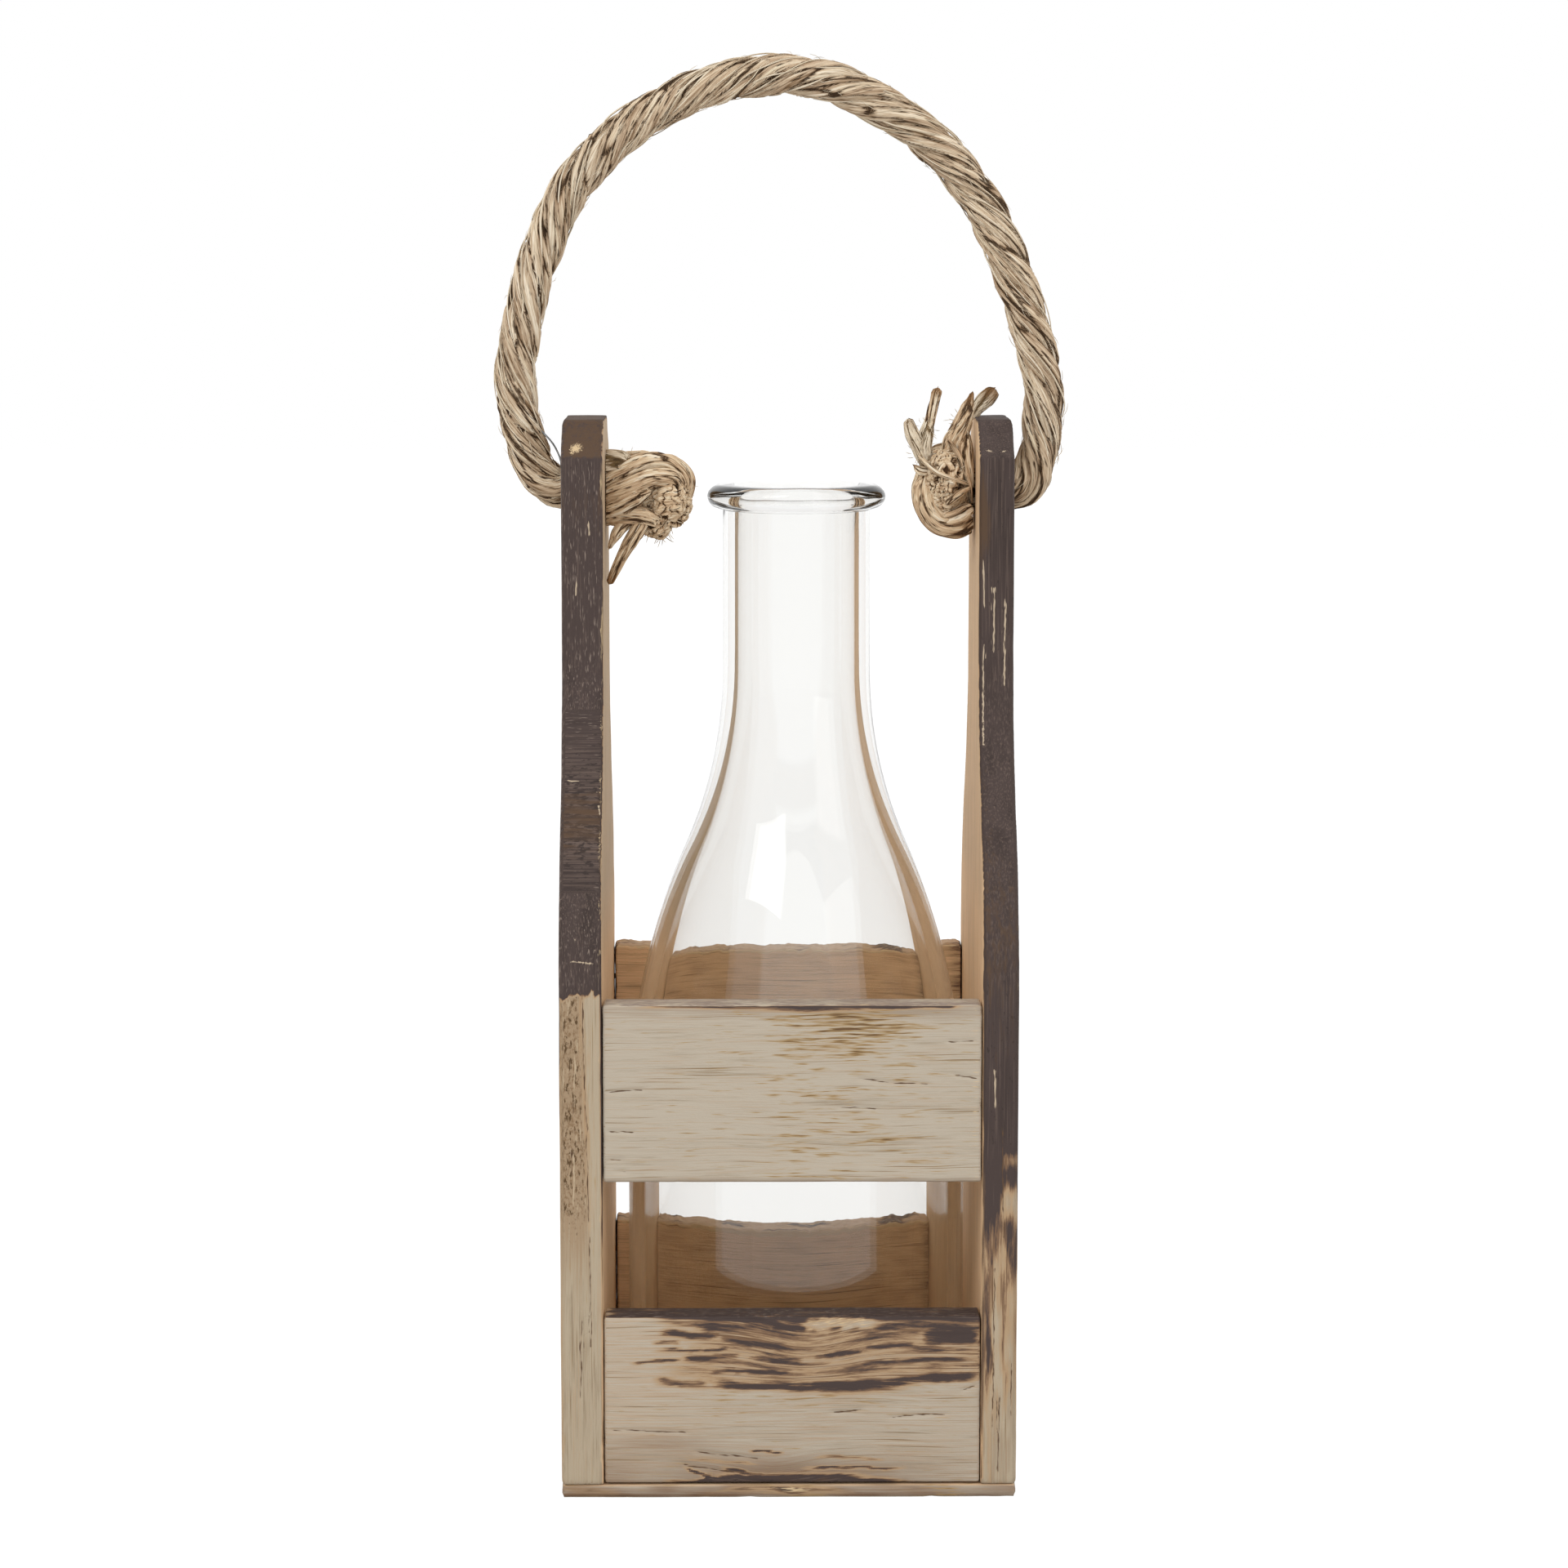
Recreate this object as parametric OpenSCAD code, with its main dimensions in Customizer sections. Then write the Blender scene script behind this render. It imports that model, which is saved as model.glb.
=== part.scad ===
// Hurricane candle lantern: a thick clear glass chimney stands loose inside a slatted wooden
// frame, and an arched rope handle passes through both side boards and is knotted inside them.
// Millimetres, +Z up, the front towards -Y, the origin under the middle of the base board.

/* [Frame] */
// Outside width over the two side boards
frame_w = 140; // [116:1:200]
// Depth of the side boards where the slats join them
frame_d = 140; // [116:1:200]
// Height from the table to the top of the side boards
frame_h = 329; // [300:1:420]
// Thickness of the base board
base_t = 4; // [3:0.5:12]

/* [Side boards] */
// Thickness of the left side board
left_board_t = 13; // [9:0.5:18]
// Thickness of the right side board
right_board_t = 11; // [9:0.5:18]
// Depth of the narrow upper part of a side board
neck_d = 62; // [40:1:100]
// Height of the curve that narrows a side board above the slats
shoulder_h = 108; // [60:1:120]
// Depth taken off each top corner of a side board
top_cut_d = 15; // [2:1:18]
// Height taken off each top corner of a side board
top_cut_h = 11; // [2:1:18]

/* [Slats] */
// Thickness of every slat
slat_t = 12; // [8:0.5:16]
// Height of the two lower slats
lower_slat_h = 52.5; // [40:0.5:70]
// Height of the two upper slats
upper_slat_h = 55; // [40:0.5:70]
// Open gap between the two front slats
slat_gap = 42; // [15:1:60]
// How far each slat stands back from the edge of the side boards
slat_inset = 0.5; // [0:0.1:3]
// Crack left under the lower front slat
base_gap = 0.5; // [0.1:0.1:2]
// How much higher the lower back slat is nailed than the lower front slat
back_lower_lift = 1.7; // [0:0.1:4]
// How much lower the upper back slat is nailed than the upper front slat
back_upper_drop = 2.2; // [0:0.1:4]
// Clearance between a slat's end and the side board
slat_fit = 0.25; // [0.05:0.05:0.8]

/* [Glass chimney] */
// Wall thickness of the glass
glass_wall = 4.8; // [2.5:0.1:7]
// Smallest gap between the glass body and the slats or side boards, when it is centred
glass_play = 3.75; // [1:0.25:12]
// How far the glass stands to the right of the middle of its space
glass_shift = 2; // [0:0.25:3]
// Outer diameter of the glass neck
glass_neck_d = 46.6; // [36:0.2:56]
// Length of the straight neck, lip included
glass_neck_h = 58; // [30:1:90]
// Height of the curve between the neck and the body
glass_shoulder_h = 145; // [90:1:170]
// Radius of the hollow bend at the foot of the neck
glass_bend_r = 139; // [90:1:150]
// Outer diameter of the lip
lip_d = 56.2; // [50:0.2:66]
// Thickness of the rolled lip
lip_t = 7.5; // [4:0.1:9]
// How far the lip stands below the tops of the side boards
lip_drop = 21; // [10:1:60]

/* [Rope handle] */
// Diameter of the rope
rope_d = 13; // [9:0.5:16]
// Clearance between the rope and its hole
rope_fit = 0.5; // [0.2:0.1:1.5]
// Depth of the rope holes below the tops of the side boards
hole_drop = 23; // [16:1:50]
// Diameter of the thin wire laid in the middle of the rope
wire_d = 0.6; // [0.4:0.1:2]
// Clearance round the wire
wire_fit = 0.25; // [0.2:0.05:0.5]
// Diameter of the left knot
left_knot_d = 28; // [22:0.5:34]
// Length of the left knot, inwards from the side board
left_knot_l = 27; // [16:0.5:28]
// Diameter of the right knot
right_knot_d = 31; // [22:0.5:34]
// Length of the right knot, inwards from the side board
right_knot_l = 18.5; // [16:0.5:24]
// Gap between a knot and the side board it bears on
knot_gap = 0.3; // [0.1:0.1:1]

/* [Nails] */
// Shank diameter of every nail
nail_d = 1.8; // [1.2:0.1:2.5]
// Length of every nail
nail_l = 25; // [20:1:40]
// Head diameter of every nail
nail_head_d = 3.8; // [3:0.1:6]
// Head thickness of every nail
nail_head_t = 0.8; // [0.5:0.1:1.5]
// Clearance round a nail in its hole
nail_fit = 0.05; // [0.02:0.01:0.1]
// Distance from a slat's edge to its nails
slat_nail_inset = 12; // [8:0.5:18]
// Distance from the end of a side board to its outer base nails
base_nail_inset = 25; // [20:1:40]

/* [Hidden] */
$fn = 72;

// Extra depth of a cut, so that it breaks cleanly through a face
cut = 1;
// Straight pieces in each arc of an outline
arc_steps = 14;

// Frame
inner_left = -frame_w / 2 + left_board_t;
inner_right = frame_w / 2 - right_board_t;
inner_w = inner_right - inner_left;
inner_d = frame_d - 2 * (slat_t + slat_inset);
lower_z = base_t + base_gap;
upper_z = lower_z + lower_slat_h + slat_gap;
slat_top = upper_z + upper_slat_h;
hole_z = frame_h - hole_drop;
hole_r = rope_d / 2 + rope_fit;

// Each slat: side (-1 front, 1 back), bottom edge, height
LOWER_FRONT = [-1, lower_z, lower_slat_h];
UPPER_FRONT = [-1, upper_z, upper_slat_h];
LOWER_BACK = [1, lower_z + back_lower_lift, lower_slat_h];
UPPER_BACK = [1, upper_z - back_upper_drop, upper_slat_h];
SLATS = [LOWER_FRONT, UPPER_FRONT, LOWER_BACK, UPPER_BACK];

// Glass
glass_x = (inner_left + inner_right) / 2 + glass_shift;
glass_r = min(inner_w, inner_d) / 2 - glass_play;
glass_top = frame_h - lip_drop;
neck_z = glass_top - glass_neck_h;
body_z = neck_z - glass_shoulder_h;
neck_r = glass_neck_d / 2;
mouth_r = neck_r - glass_wall;
edge_r = 1.2;
mouth_edge_r = 2.4;
lip_c = [lip_d / 2 - lip_t / 2, glass_top - lip_t / 2];
glass_step = glass_r - neck_r;
glass_turn = 2 * atan(glass_step / glass_shoulder_h);
glass_body_bend_r = (glass_step ^ 2 + glass_shoulder_h ^ 2) / (2 * glass_step) - glass_bend_r;

// Rope: the arch from one board's outer face to the other's, as [x, height above the holes],
// chosen for boards that stand arch_w apart outside
arch_w = 140;
ARCH = [
    [-70, 0], [-74, 1.5], [-77.5, 5], [-80.5, 11], [-83, 19], [-84.8, 29], [-85, 39],
    [-83.3, 50], [-80.3, 63], [-76.3, 76], [-70.5, 89], [-63, 100], [-53.5, 109.5],
    [-42, 117.5], [-29, 124], [-15, 128], [-1, 129.5], [13, 127.3], [26, 122], [38, 114.5],
    [49, 105], [58, 94], [65, 82], [70.3, 69.5], [74.8, 56], [78.6, 43], [80.8, 31],
    [80.6, 20], [79.2, 11], [77, 5], [74, 1.5], [70, 0]
];
rope_left = inner_left + knot_gap;
rope_right = inner_right - knot_gap;
ROUTE = concat(
    [[rope_left, 0, hole_z]],
    [for (p = ARCH) [p.x * frame_w / arch_w, 0, hole_z + p.y]],
    [[rope_right, 0, hole_z]]
);
CHANNEL = concat(
    [[rope_left + cut, 0, hole_z]],
    [for (i = [1:len(ROUTE) - 2]) ROUTE[i]],
    [[rope_right - cut, 0, hole_z]]
);
rope_sides = 10;
wire_sides = 8;
// How far a knot's flat face reaches past the edge of the rope hole
knot_seat = 1.5;

function slat_y(side) = side * (frame_d / 2 - slat_inset - slat_t / 2);
function arc(c, r, a0, a1) =
    [for (i = [0:arc_steps]) let (a = a0 + (a1 - a0) * i / arc_steps) c + r * [cos(a), sin(a)]];
function reversed(list) = [for (i = [len(list) - 1:-1:0]) list[i]];
function mirrored(list) = [for (p = reversed(list)) [-p.x, p.y]];

// One edge of a side board, from the floor of the board up: straight beside the slats, then a
// bulging and a hollow arc of equal radius, then the straight neck and the cut top corner
function board_edge() =
    let (
        step = (frame_d - neck_d) / 2,
        r = (step ^ 2 + shoulder_h ^ 2) / (4 * step),
        turn = 2 * atan(step / shoulder_h)
    )
    concat(
        [[frame_d / 2, base_t]],
        arc([frame_d / 2 - r, slat_top], r, 0, turn),
        arc([neck_d / 2 + r, slat_top + shoulder_h], r, 180 + turn, 180),
        [[neck_d / 2, frame_h - top_cut_h], [neck_d / 2 - top_cut_d, frame_h]]
    );

// One face of the glass between body and neck, moved inwards by depth
function glass_curve(depth) = concat(
    arc([glass_r - glass_body_bend_r, body_z], glass_body_bend_r - depth, 0, glass_turn),
    arc([neck_r + glass_bend_r, neck_z], glass_bend_r + depth, 180 + glass_turn, 180)
);

function route_dir(route, i) =
    let (d = route[min(i + 1, len(route) - 1)] - route[max(i - 1, 0)]) d / norm(d);
function ring(route, i, r, sides) =
    let (t = route_dir(route, i))
    [for (k = [0:sides - 1])
        let (a = 360 * k / sides) route[i] + r * (cos(a) * [-t.z, 0, t.x] + sin(a) * [0, 1, 0])];

// A round tube of one radius along a flat route
module tube(route, r, sides) {
    last = (len(route) - 1) * sides;
    polyhedron(
        points = [for (i = [0:len(route) - 1]) each ring(route, i, r, sides)],
        faces = concat(
            [[for (k = [sides - 1:-1:0]) k]],
            [for (i = [0:len(route) - 2]) for (k = [0:sides - 1])
                let (a = i * sides + k, b = i * sides + (k + 1) % sides) [a, b, b + sides, a + sides]],
            [[for (k = [0:sides - 1]) last + k]]
        )
    );
}

// A nail along +Z with the top of its head at the origin, or with fit > 0 its hole
module nail(fit = 0) {
    tip = 2 * nail_d;
    shank_r = nail_d / 2 + fit;
    head_up = fit > 0 ? cut : 0;
    union() {
        translate([0, 0, -head_up])
            cylinder(r = nail_head_d / 2 + fit, h = nail_head_t + fit + head_up);
        cylinder(r = shank_r, h = nail_l - tip);
        translate([0, 0, nail_l - tip])
            cylinder(r1 = shank_r, r2 = nail_d / 8 + fit, h = tip + fit);
    }
}

// The two nails that hold one end of a slat; side is -1 for the left board, 1 for the right
module slat_end_nails(slat, side, fit = 0) {
    for (z = [slat[1] + slat_nail_inset, slat[1] + slat[2] - slat_nail_inset])
        translate([side * frame_w / 2, slat_y(slat[0]), z])
            rotate([0, -90 * side, 0])
                nail(fit);
}

// The three nails that come up through the base into one side board
module board_foot_nails(side, board_t, fit = 0) {
    for (k = [-1:1])
        translate([side * (frame_w - board_t) / 2, k * (frame_d / 2 - base_nail_inset), 0])
            nail(fit);
}

module side_board(side, board_t) {
    edge = board_edge();
    difference() {
        translate([side > 0 ? inner_right : -frame_w / 2, 0, 0])
            rotate([90, 0, 90])
                linear_extrude(board_t)
                    polygon(concat(edge, mirrored(edge)));
        translate([side * (frame_w - board_t) / 2, 0, hole_z])
            rotate([0, 90, 0])
                cylinder(r = hole_r, h = board_t + 2 * cut, center = true);
        for (slat = SLATS)
            slat_end_nails(slat, side, nail_fit);
        board_foot_nails(side, board_t, nail_fit);
    }
}

module slat(slat) {
    difference() {
        translate([inner_left + slat_fit, slat_y(slat[0]) - slat_t / 2, slat[1]])
            cube([inner_w - 2 * slat_fit, slat_t, slat[2]]);
        for (side = [-1, 1])
            slat_end_nails(slat, side, nail_fit);
    }
}

// A knot as a round ball cut flat where it bears on the board, turned about the holes' axis
module knot(side, x, d, l) {
    face_r = hole_r + knot_seat;
    flat = sqrt(1 - (2 * face_r / d) ^ 2);
    half_l = l / (1 + flat);
    start = -asin(flat);
    translate([x, 0, hole_z])
        rotate([0, -90 * side, 0])
            rotate_extrude()
                polygon(concat(
                    [[0, 0]],
                    [for (i = [0:arc_steps])
                        let (a = start + (90 - start) * i / arc_steps)
                        [i == arc_steps ? 0 : d / 2 * cos(a), half_l * (flat + sin(a))]]
                ));
}

module base_board() {
    color("#BFA98A")
        difference() {
            translate([-frame_w / 2, -frame_d / 2, 0])
                cube([frame_w, frame_d, base_t]);
            board_foot_nails(-1, left_board_t, nail_fit);
            board_foot_nails(1, right_board_t, nail_fit);
        }
}

module left_side_board() {
    color("#5B4B43")
        side_board(-1, left_board_t);
}

module right_side_board() {
    color("#4F4340")
        side_board(1, right_board_t);
}

module lower_front_slat() {
    color("#B5A188")
        slat(LOWER_FRONT);
}

module upper_front_slat() {
    color("#B9AC99")
        slat(UPPER_FRONT);
}

module lower_back_slat() {
    color("#73563F")
        slat(LOWER_BACK);
}

module upper_back_slat() {
    color("#8A7158")
        slat(UPPER_BACK);
}

module glass_chimney() {
    foot_out = [glass_r - edge_r, base_t + edge_r];
    foot_in = [glass_r - glass_wall + edge_r, base_t + edge_r];
    mouth_c = [mouth_r + mouth_edge_r, glass_top - mouth_edge_r];
    lip_start = -180 + acos((lip_c.x - neck_r) / (lip_t / 2));
    color("#DDE6E6", 0.35)
        translate([glass_x, 0, 0])
            rotate_extrude()
                polygon(concat(
                    arc(foot_out, edge_r, -90, 0),
                    glass_curve(0),
                    arc(lip_c, lip_t / 2, lip_start, 90),
                    arc(mouth_c, mouth_edge_r, 90, 180),
                    reversed(glass_curve(glass_wall)),
                    arc(foot_in, edge_r, 180, 270)
                ));
}

module handle_rope() {
    color("#A89171")
        difference() {
            tube(ROUTE, rope_d / 2, rope_sides);
            tube(CHANNEL, wire_d / 2 + wire_fit, wire_sides);
        }
}

module core_wire() {
    color("#8C8F92")
        tube(ROUTE, wire_d / 2, wire_sides);
}

module left_knot() {
    color("#B29A78")
        knot(-1, rope_left, left_knot_d, left_knot_l);
}

module right_knot() {
    color("#B29A78")
        knot(1, rope_right, right_knot_d, right_knot_l);
}

module left_board_nails() {
    color("#77736C")
        for (slat = SLATS)
            slat_end_nails(slat, -1);
}

module right_board_nails() {
    color("#77736C")
        for (slat = SLATS)
            slat_end_nails(slat, 1);
}

module base_nails() {
    color("#77736C") {
        board_foot_nails(-1, left_board_t);
        board_foot_nails(1, right_board_t);
    }
}

base_board();
left_side_board();
right_side_board();
lower_front_slat();
upper_front_slat();
lower_back_slat();
upper_back_slat();
glass_chimney();
handle_rope();
core_wire();
left_knot();
right_knot();
left_board_nails();
right_board_nails();
base_nails();
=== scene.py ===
# %% [markdown]
# # A hurricane candle lantern
# The lantern has a slatted wooden frame with scorched edges, a thick clear glass chimney that
# stands loose inside it, and an arched rope handle that is knotted inside both side boards.
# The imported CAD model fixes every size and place. Wood, rope and knots are modelled again here
# with their grain, fibres and wear, because a plain CAD solid shows none of that.

# %% The fixed frame
import random
from math import atan2, cos, exp, pi, radians, sin, sqrt

import bmesh
import bpy
from mathutils import Matrix, Vector, noise


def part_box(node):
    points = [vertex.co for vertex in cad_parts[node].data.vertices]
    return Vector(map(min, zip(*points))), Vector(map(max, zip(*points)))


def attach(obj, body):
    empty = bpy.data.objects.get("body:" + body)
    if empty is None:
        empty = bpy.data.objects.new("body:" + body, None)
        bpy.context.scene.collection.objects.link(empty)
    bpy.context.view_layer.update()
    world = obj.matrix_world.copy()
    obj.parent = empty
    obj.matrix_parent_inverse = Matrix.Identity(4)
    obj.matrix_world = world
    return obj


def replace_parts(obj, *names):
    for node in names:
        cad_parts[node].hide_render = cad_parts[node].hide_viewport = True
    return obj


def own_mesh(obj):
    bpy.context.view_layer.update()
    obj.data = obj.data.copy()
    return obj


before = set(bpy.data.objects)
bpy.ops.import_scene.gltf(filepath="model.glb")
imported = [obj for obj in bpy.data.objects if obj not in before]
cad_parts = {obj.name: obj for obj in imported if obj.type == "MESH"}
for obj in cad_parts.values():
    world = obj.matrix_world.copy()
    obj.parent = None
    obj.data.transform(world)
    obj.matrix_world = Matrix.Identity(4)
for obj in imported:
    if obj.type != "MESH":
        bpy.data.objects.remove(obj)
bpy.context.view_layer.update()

MM = 0.001
scene = bpy.context.scene

# %% [markdown]
# ## The camera
# A long lens from about 1.3 m away keeps the boards nearly parallel, as a catalogue picture
# does. It stands a little above the boards' tops and looks slightly down, so that the upper
# faces of the slats show as thin strips.

# %% Camera
LENS, TILT, TURN = 99.79, 7.44, -0.51
lens = bpy.data.cameras.new("camera")
lens.sensor_width, lens.lens = 36, LENS
camera = bpy.data.objects.new("camera", lens)
camera.location = (-0.0131, -1.370, 0.3916)
camera.rotation_euler = (radians(90 - TILT), 0, radians(TURN))
scene.collection.objects.link(camera)
scene.camera = camera
print("camera looks down by", TILT, "degrees with a lens of", LENS, "mm")

# %% [markdown]
# ## The line of the rope
# Everything on the handle follows one line: out of the left knot, through the board, over the
# arch and back through the right board. The CAD route gives its points. A Catmull-Rom spline
# through them removes the corners, and even steps along it make every ring of the rope alike.

# %% Rope line
HOLE_Z = 306
# Points of the arch in mm: x, and height above the holes
ARCH = [
    (-70, 0), (-74, 1.5), (-77.5, 5), (-80.5, 11), (-83, 19), (-84.8, 29), (-85, 39),
    (-83.3, 50), (-80.3, 63), (-76.3, 76), (-70.5, 89), (-63, 100), (-53.5, 109.5),
    (-42, 117.5), (-29, 124), (-15, 128), (-1, 129.5), (13, 127.3), (26, 122), (38, 114.5),
    (49, 105), (58, 94), (65, 82), (70.3, 69.5), (74.8, 56), (78.6, 43), (80.8, 31),
    (80.6, 20), (79.2, 11), (77, 5), (74, 1.5), (70, 0),
]
LEFT_END, RIGHT_END, RING_STEP, SPLINE_PARTS = -56.7, 58.7, 1.15, 12
route = [Vector((x, 0, HOLE_Z + up)) for x, up in ((LEFT_END, 0), *ARCH, (RIGHT_END, 0))]


def smooth_line(points, step):
    """Points a step apart on a smooth line through the given ones."""
    points = [Vector(p) for p in points]
    ends = [2 * points[0] - points[1], *points, 2 * points[-1] - points[-2]]
    fine = []
    for a, b, c, d in zip(ends, ends[1:], ends[2:], ends[3:]):
        for k in range(SPLINE_PARTS):
            t = k / SPLINE_PARTS
            fine.append(0.5 * (2 * b + (c - a) * t + (2 * a - 5 * b + 4 * c - d) * t * t
                               + (3 * b - a - 3 * c + d) * t ** 3))
    fine.append(points[-1])
    far = [0.0]
    for a, b in zip(fine, fine[1:]):
        far.append(far[-1] + (b - a).length)
    count = max(2, round(far[-1] / step))
    line, at = [], 0
    for k in range(count + 1):
        want = far[-1] * k / count
        while at < len(far) - 2 and far[at + 1] < want:
            at += 1
        part = (want - far[at]) / max(far[at + 1] - far[at], 1e-9)
        line.append(fine[at].lerp(fine[at + 1], min(1, part)))
    return line


rope_line = smooth_line(route, RING_STEP)
rope_length = sum((b - a).length for a, b in zip(rope_line, rope_line[1:]))
print(f"rope line: {len(rope_line)} points, {rope_length:.0f} mm")

# %% [markdown]
# ## Small helpers
# One function turns a hex colour to the linear numbers that Blender works in, and one adds a
# shader node with its settings and links. Every material below is made with these two. The
# shapes need a soft step from 0 to 1, and a noise that is the same at the same place each time.

# %% Colour, node and noise helpers


def linear(code):
    """An sRGB hex colour as linear RGBA."""
    channels = [int(code[i:i + 2], 16) / 255 for i in (1, 3, 5)]
    return (*(c / 12.92 if c <= 0.04045 else ((c + 0.055) / 1.055) ** 2.4 for c in channels), 1.0)


def add(tree, kind, values=(), links=(), stops=(), **settings):
    """One shader node, with its settings, fixed inputs, linked inputs and colour stops."""
    node = tree.nodes.new("ShaderNode" + kind)
    for name, value in settings.items():
        setattr(node, name, value)
    for key, value in dict(values).items():
        node.inputs[key].default_value = value
    for key, socket in dict(links).items():
        tree.links.new(socket, node.inputs[key])
    for k, (place, colour) in enumerate(stops):
        if k >= len(node.color_ramp.elements):
            node.color_ramp.elements.new(place)
        node.color_ramp.elements[k].position = place
        node.color_ramp.elements[k].color = linear(colour)
    return node


def new_material(name):
    """An empty node material with its output."""
    material = bpy.data.materials.new(name)
    material.use_nodes = True
    material.node_tree.nodes.clear()
    return material, material.node_tree


def ease(low, high, value):
    """0 at low and 1 at high, with a soft start and end. Low may be the greater of the two."""
    t = min(1, max(0, (value - low) / (high - low)))
    return t * t * (3 - 2 * t)


def rough(x, y, z, seed=0.0):
    """Perlin noise from -1 to 1."""
    return noise.noise(Vector((x + seed, y - seed, z + 0.37 * seed)))


print("the hex grey #808080 is", round(linear("#808080")[0], 3), "in linear light")

# %% [markdown]
# ## Patterns that follow the grain
# Plant fibre and wood have the same kind of pattern: noise that is drawn out along the grain.
# Every rope and wood piece carries a `grain` vector in millimetres, so a noise gets its real
# length and width when the vector is divided by them. A finish is then built up in layers. A
# layer's colour takes over where a mark on the piece and a noise together pass a level, which
# gives the ragged borders that fire, dirt and wear leave.

# %% Grain patterns and layers
# Each noise: its length along the fibres and its width across them in mm, its detail and roughness
FIBRES = {"straws": (8, 0.36, 3, 0.6), "bundles": (26, 1.6, 2, 0.6), "gaps": (5, 0.55, 2, 0.6),
          "bright": (20, 0.45, 1, 0.6)}


def grain_patterns(tree, table, shift):
    """A noise for each row of a table, drawn out along the grain and moved off the others."""
    grain = add(tree, "Attribute", attribute_name="grain").outputs["Vector"]
    made = {}
    for k, (key, (along, across, detail, roughness)) in enumerate(table.items()):
        scale, moved = (1 / along, 1 / across, 1 / across), [k * part for part in shift]
        place = add(tree, "VectorMath", {1: scale, 2: moved}, {0: grain}, operation="MULTIPLY_ADD")
        made[key] = add(tree, "TexNoise", {"Scale": 1, "Detail": detail, "Roughness": roughness},
                        {"Vector": place.outputs[0]}).outputs[0]
    return made


def lay_over(tree, colour, mark, weight, pattern, low, high, code):
    """Lays a colour over another as mark x weight + pattern rises from low to high."""
    level = add(tree, "Math", {1: weight}, {0: mark, 2: pattern}, operation="MULTIPLY_ADD")
    mask = add(tree, "MapRange", {1: low, 2: high}, {0: level.outputs[0]}).outputs[0]
    mixed = add(tree, "Mix", {7: linear(code)}, {0: mask, 6: colour}, data_type="RGBA")
    return mixed.outputs[2], mask


print("the finest fibre pattern is", min(row[1] for row in FIBRES.values()), "mm wide")

# %% [markdown]
# ## Plant fibre
# The rope is a loosely laid plant fibre, dry and dull: pale straws lie beside grey-brown ones,
# with painted shade in the gaps where they part. Real fibres are about 0.1 mm thick, which is too
# fine to show, so the narrow pattern is drawn about 0.4 mm wide. It follows each bend, because
# every strand carries its own grain. A soft sheen gives the fuzz at the edges, and torn ends are
# browner.

# %% Fibre material
TIP_COLOUR = "#8A5F33"


def fibre_material(name, dark, middle, light):
    """Dry fibre in three tones, with painted shade in its creases and gaps, and browner ends."""
    material, tree = new_material(name)
    crease_shade_and_tone = add(tree, "Attribute", attribute_name="crease_shade_and_tone").outputs["Fac"]
    ends = add(tree, "Attribute", attribute_name="tip").outputs["Fac"]
    pattern = grain_patterns(tree, FIBRES, (4.3, 9.1, 2.7))
    tone = add(tree, "Math", {1: 0.55}, {0: pattern["straws"]}, operation="MULTIPLY")
    tone = add(tree, "Math", {1: 0.45}, {0: pattern["bundles"], 2: tone.outputs[0]},
               operation="MULTIPLY_ADD")
    # Painted shade: the crease value pulls the tone towards the dark end in creases, holes and on a strand's
    # inner side; each strip's own tone is in it too
    deep = add(tree, "Math", {1: -0.2}, {0: crease_shade_and_tone, 2: tone.outputs[0]}, operation="MULTIPLY_ADD")
    colour = add(tree, "ValToRGB", (), {0: deep.outputs[0]}, (
        (0.26, dark), (0.34, "#826749"), (0.42, middle), (0.52, light), (0.61, "#F2E5CF"))).outputs[0]
    # Pale straws keep out of the shaded creases, and the gaps between fibres get painted shade in the dark
    # tone
    colour, _ = lay_over(tree, colour, crease_shade_and_tone, -0.3, pattern["bright"], 0.60, 0.70, "#EADBBE")
    colour, shaded_gap = lay_over(tree, colour, crease_shade_and_tone, 0.24, pattern["gaps"], 0.63, 0.71, dark)
    browned_ends = add(tree, "Mix", {7: linear(TIP_COLOUR)}, {0: ends, 6: colour}, data_type="RGBA")
    rise = add(tree, "Math", (), {0: pattern["straws"], 1: shaded_gap}, operation="SUBTRACT")
    bump = add(tree, "Bump", {"Strength": 0.85, "Distance": 0.00045}, {"Height": rise.outputs[0]})
    surface = add(tree, "BsdfPrincipled",
                  {"Roughness": 0.82, "Sheen Weight": 0.28, "Sheen Roughness": 0.4,
                   "Sheen Tint": linear("#E6B98A"), "Specular IOR Level": 0.25},
                  {"Base Color": browned_ends.outputs[2], "Normal": bump.outputs[0]})
    add(tree, "OutputMaterial", (), {"Surface": surface.outputs[0]})
    return material


rope_fibre = fibre_material("laid plant fibre", "#3B2816", "#B2987D", "#D4BEA0")
knot_fibre = fibre_material("crushed plant fibre", "#46301C", "#C3A382", "#E3CBA8")
straw_fibre = fibre_material("loose straw", "#75603F", "#C6B398", "#E4D5BC")
print("fibre materials:", [fibre.name for fibre in (rope_fibre, knot_fibre, straw_fibre)])

# %% [markdown]
# ## Rolling a strand
# A strand is a long soft cylinder wrapped in flat strips of bast. A grid sheet that is rolled
# round a line makes it in one go: its long side follows the line, its short side goes round,
# and the two edges that meet are merged. The strips are the cells of a Voronoi noise that is
# stretched along the strand. Each has its own height and tilt, so that one edge stands over its
# neighbour, and a crease runs where two meet, darkened with painted shade.

# %% Strand helpers
STRIP_LONG, STRAW_LONG, FLAKE_LONG = 30, 13, 6


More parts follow.
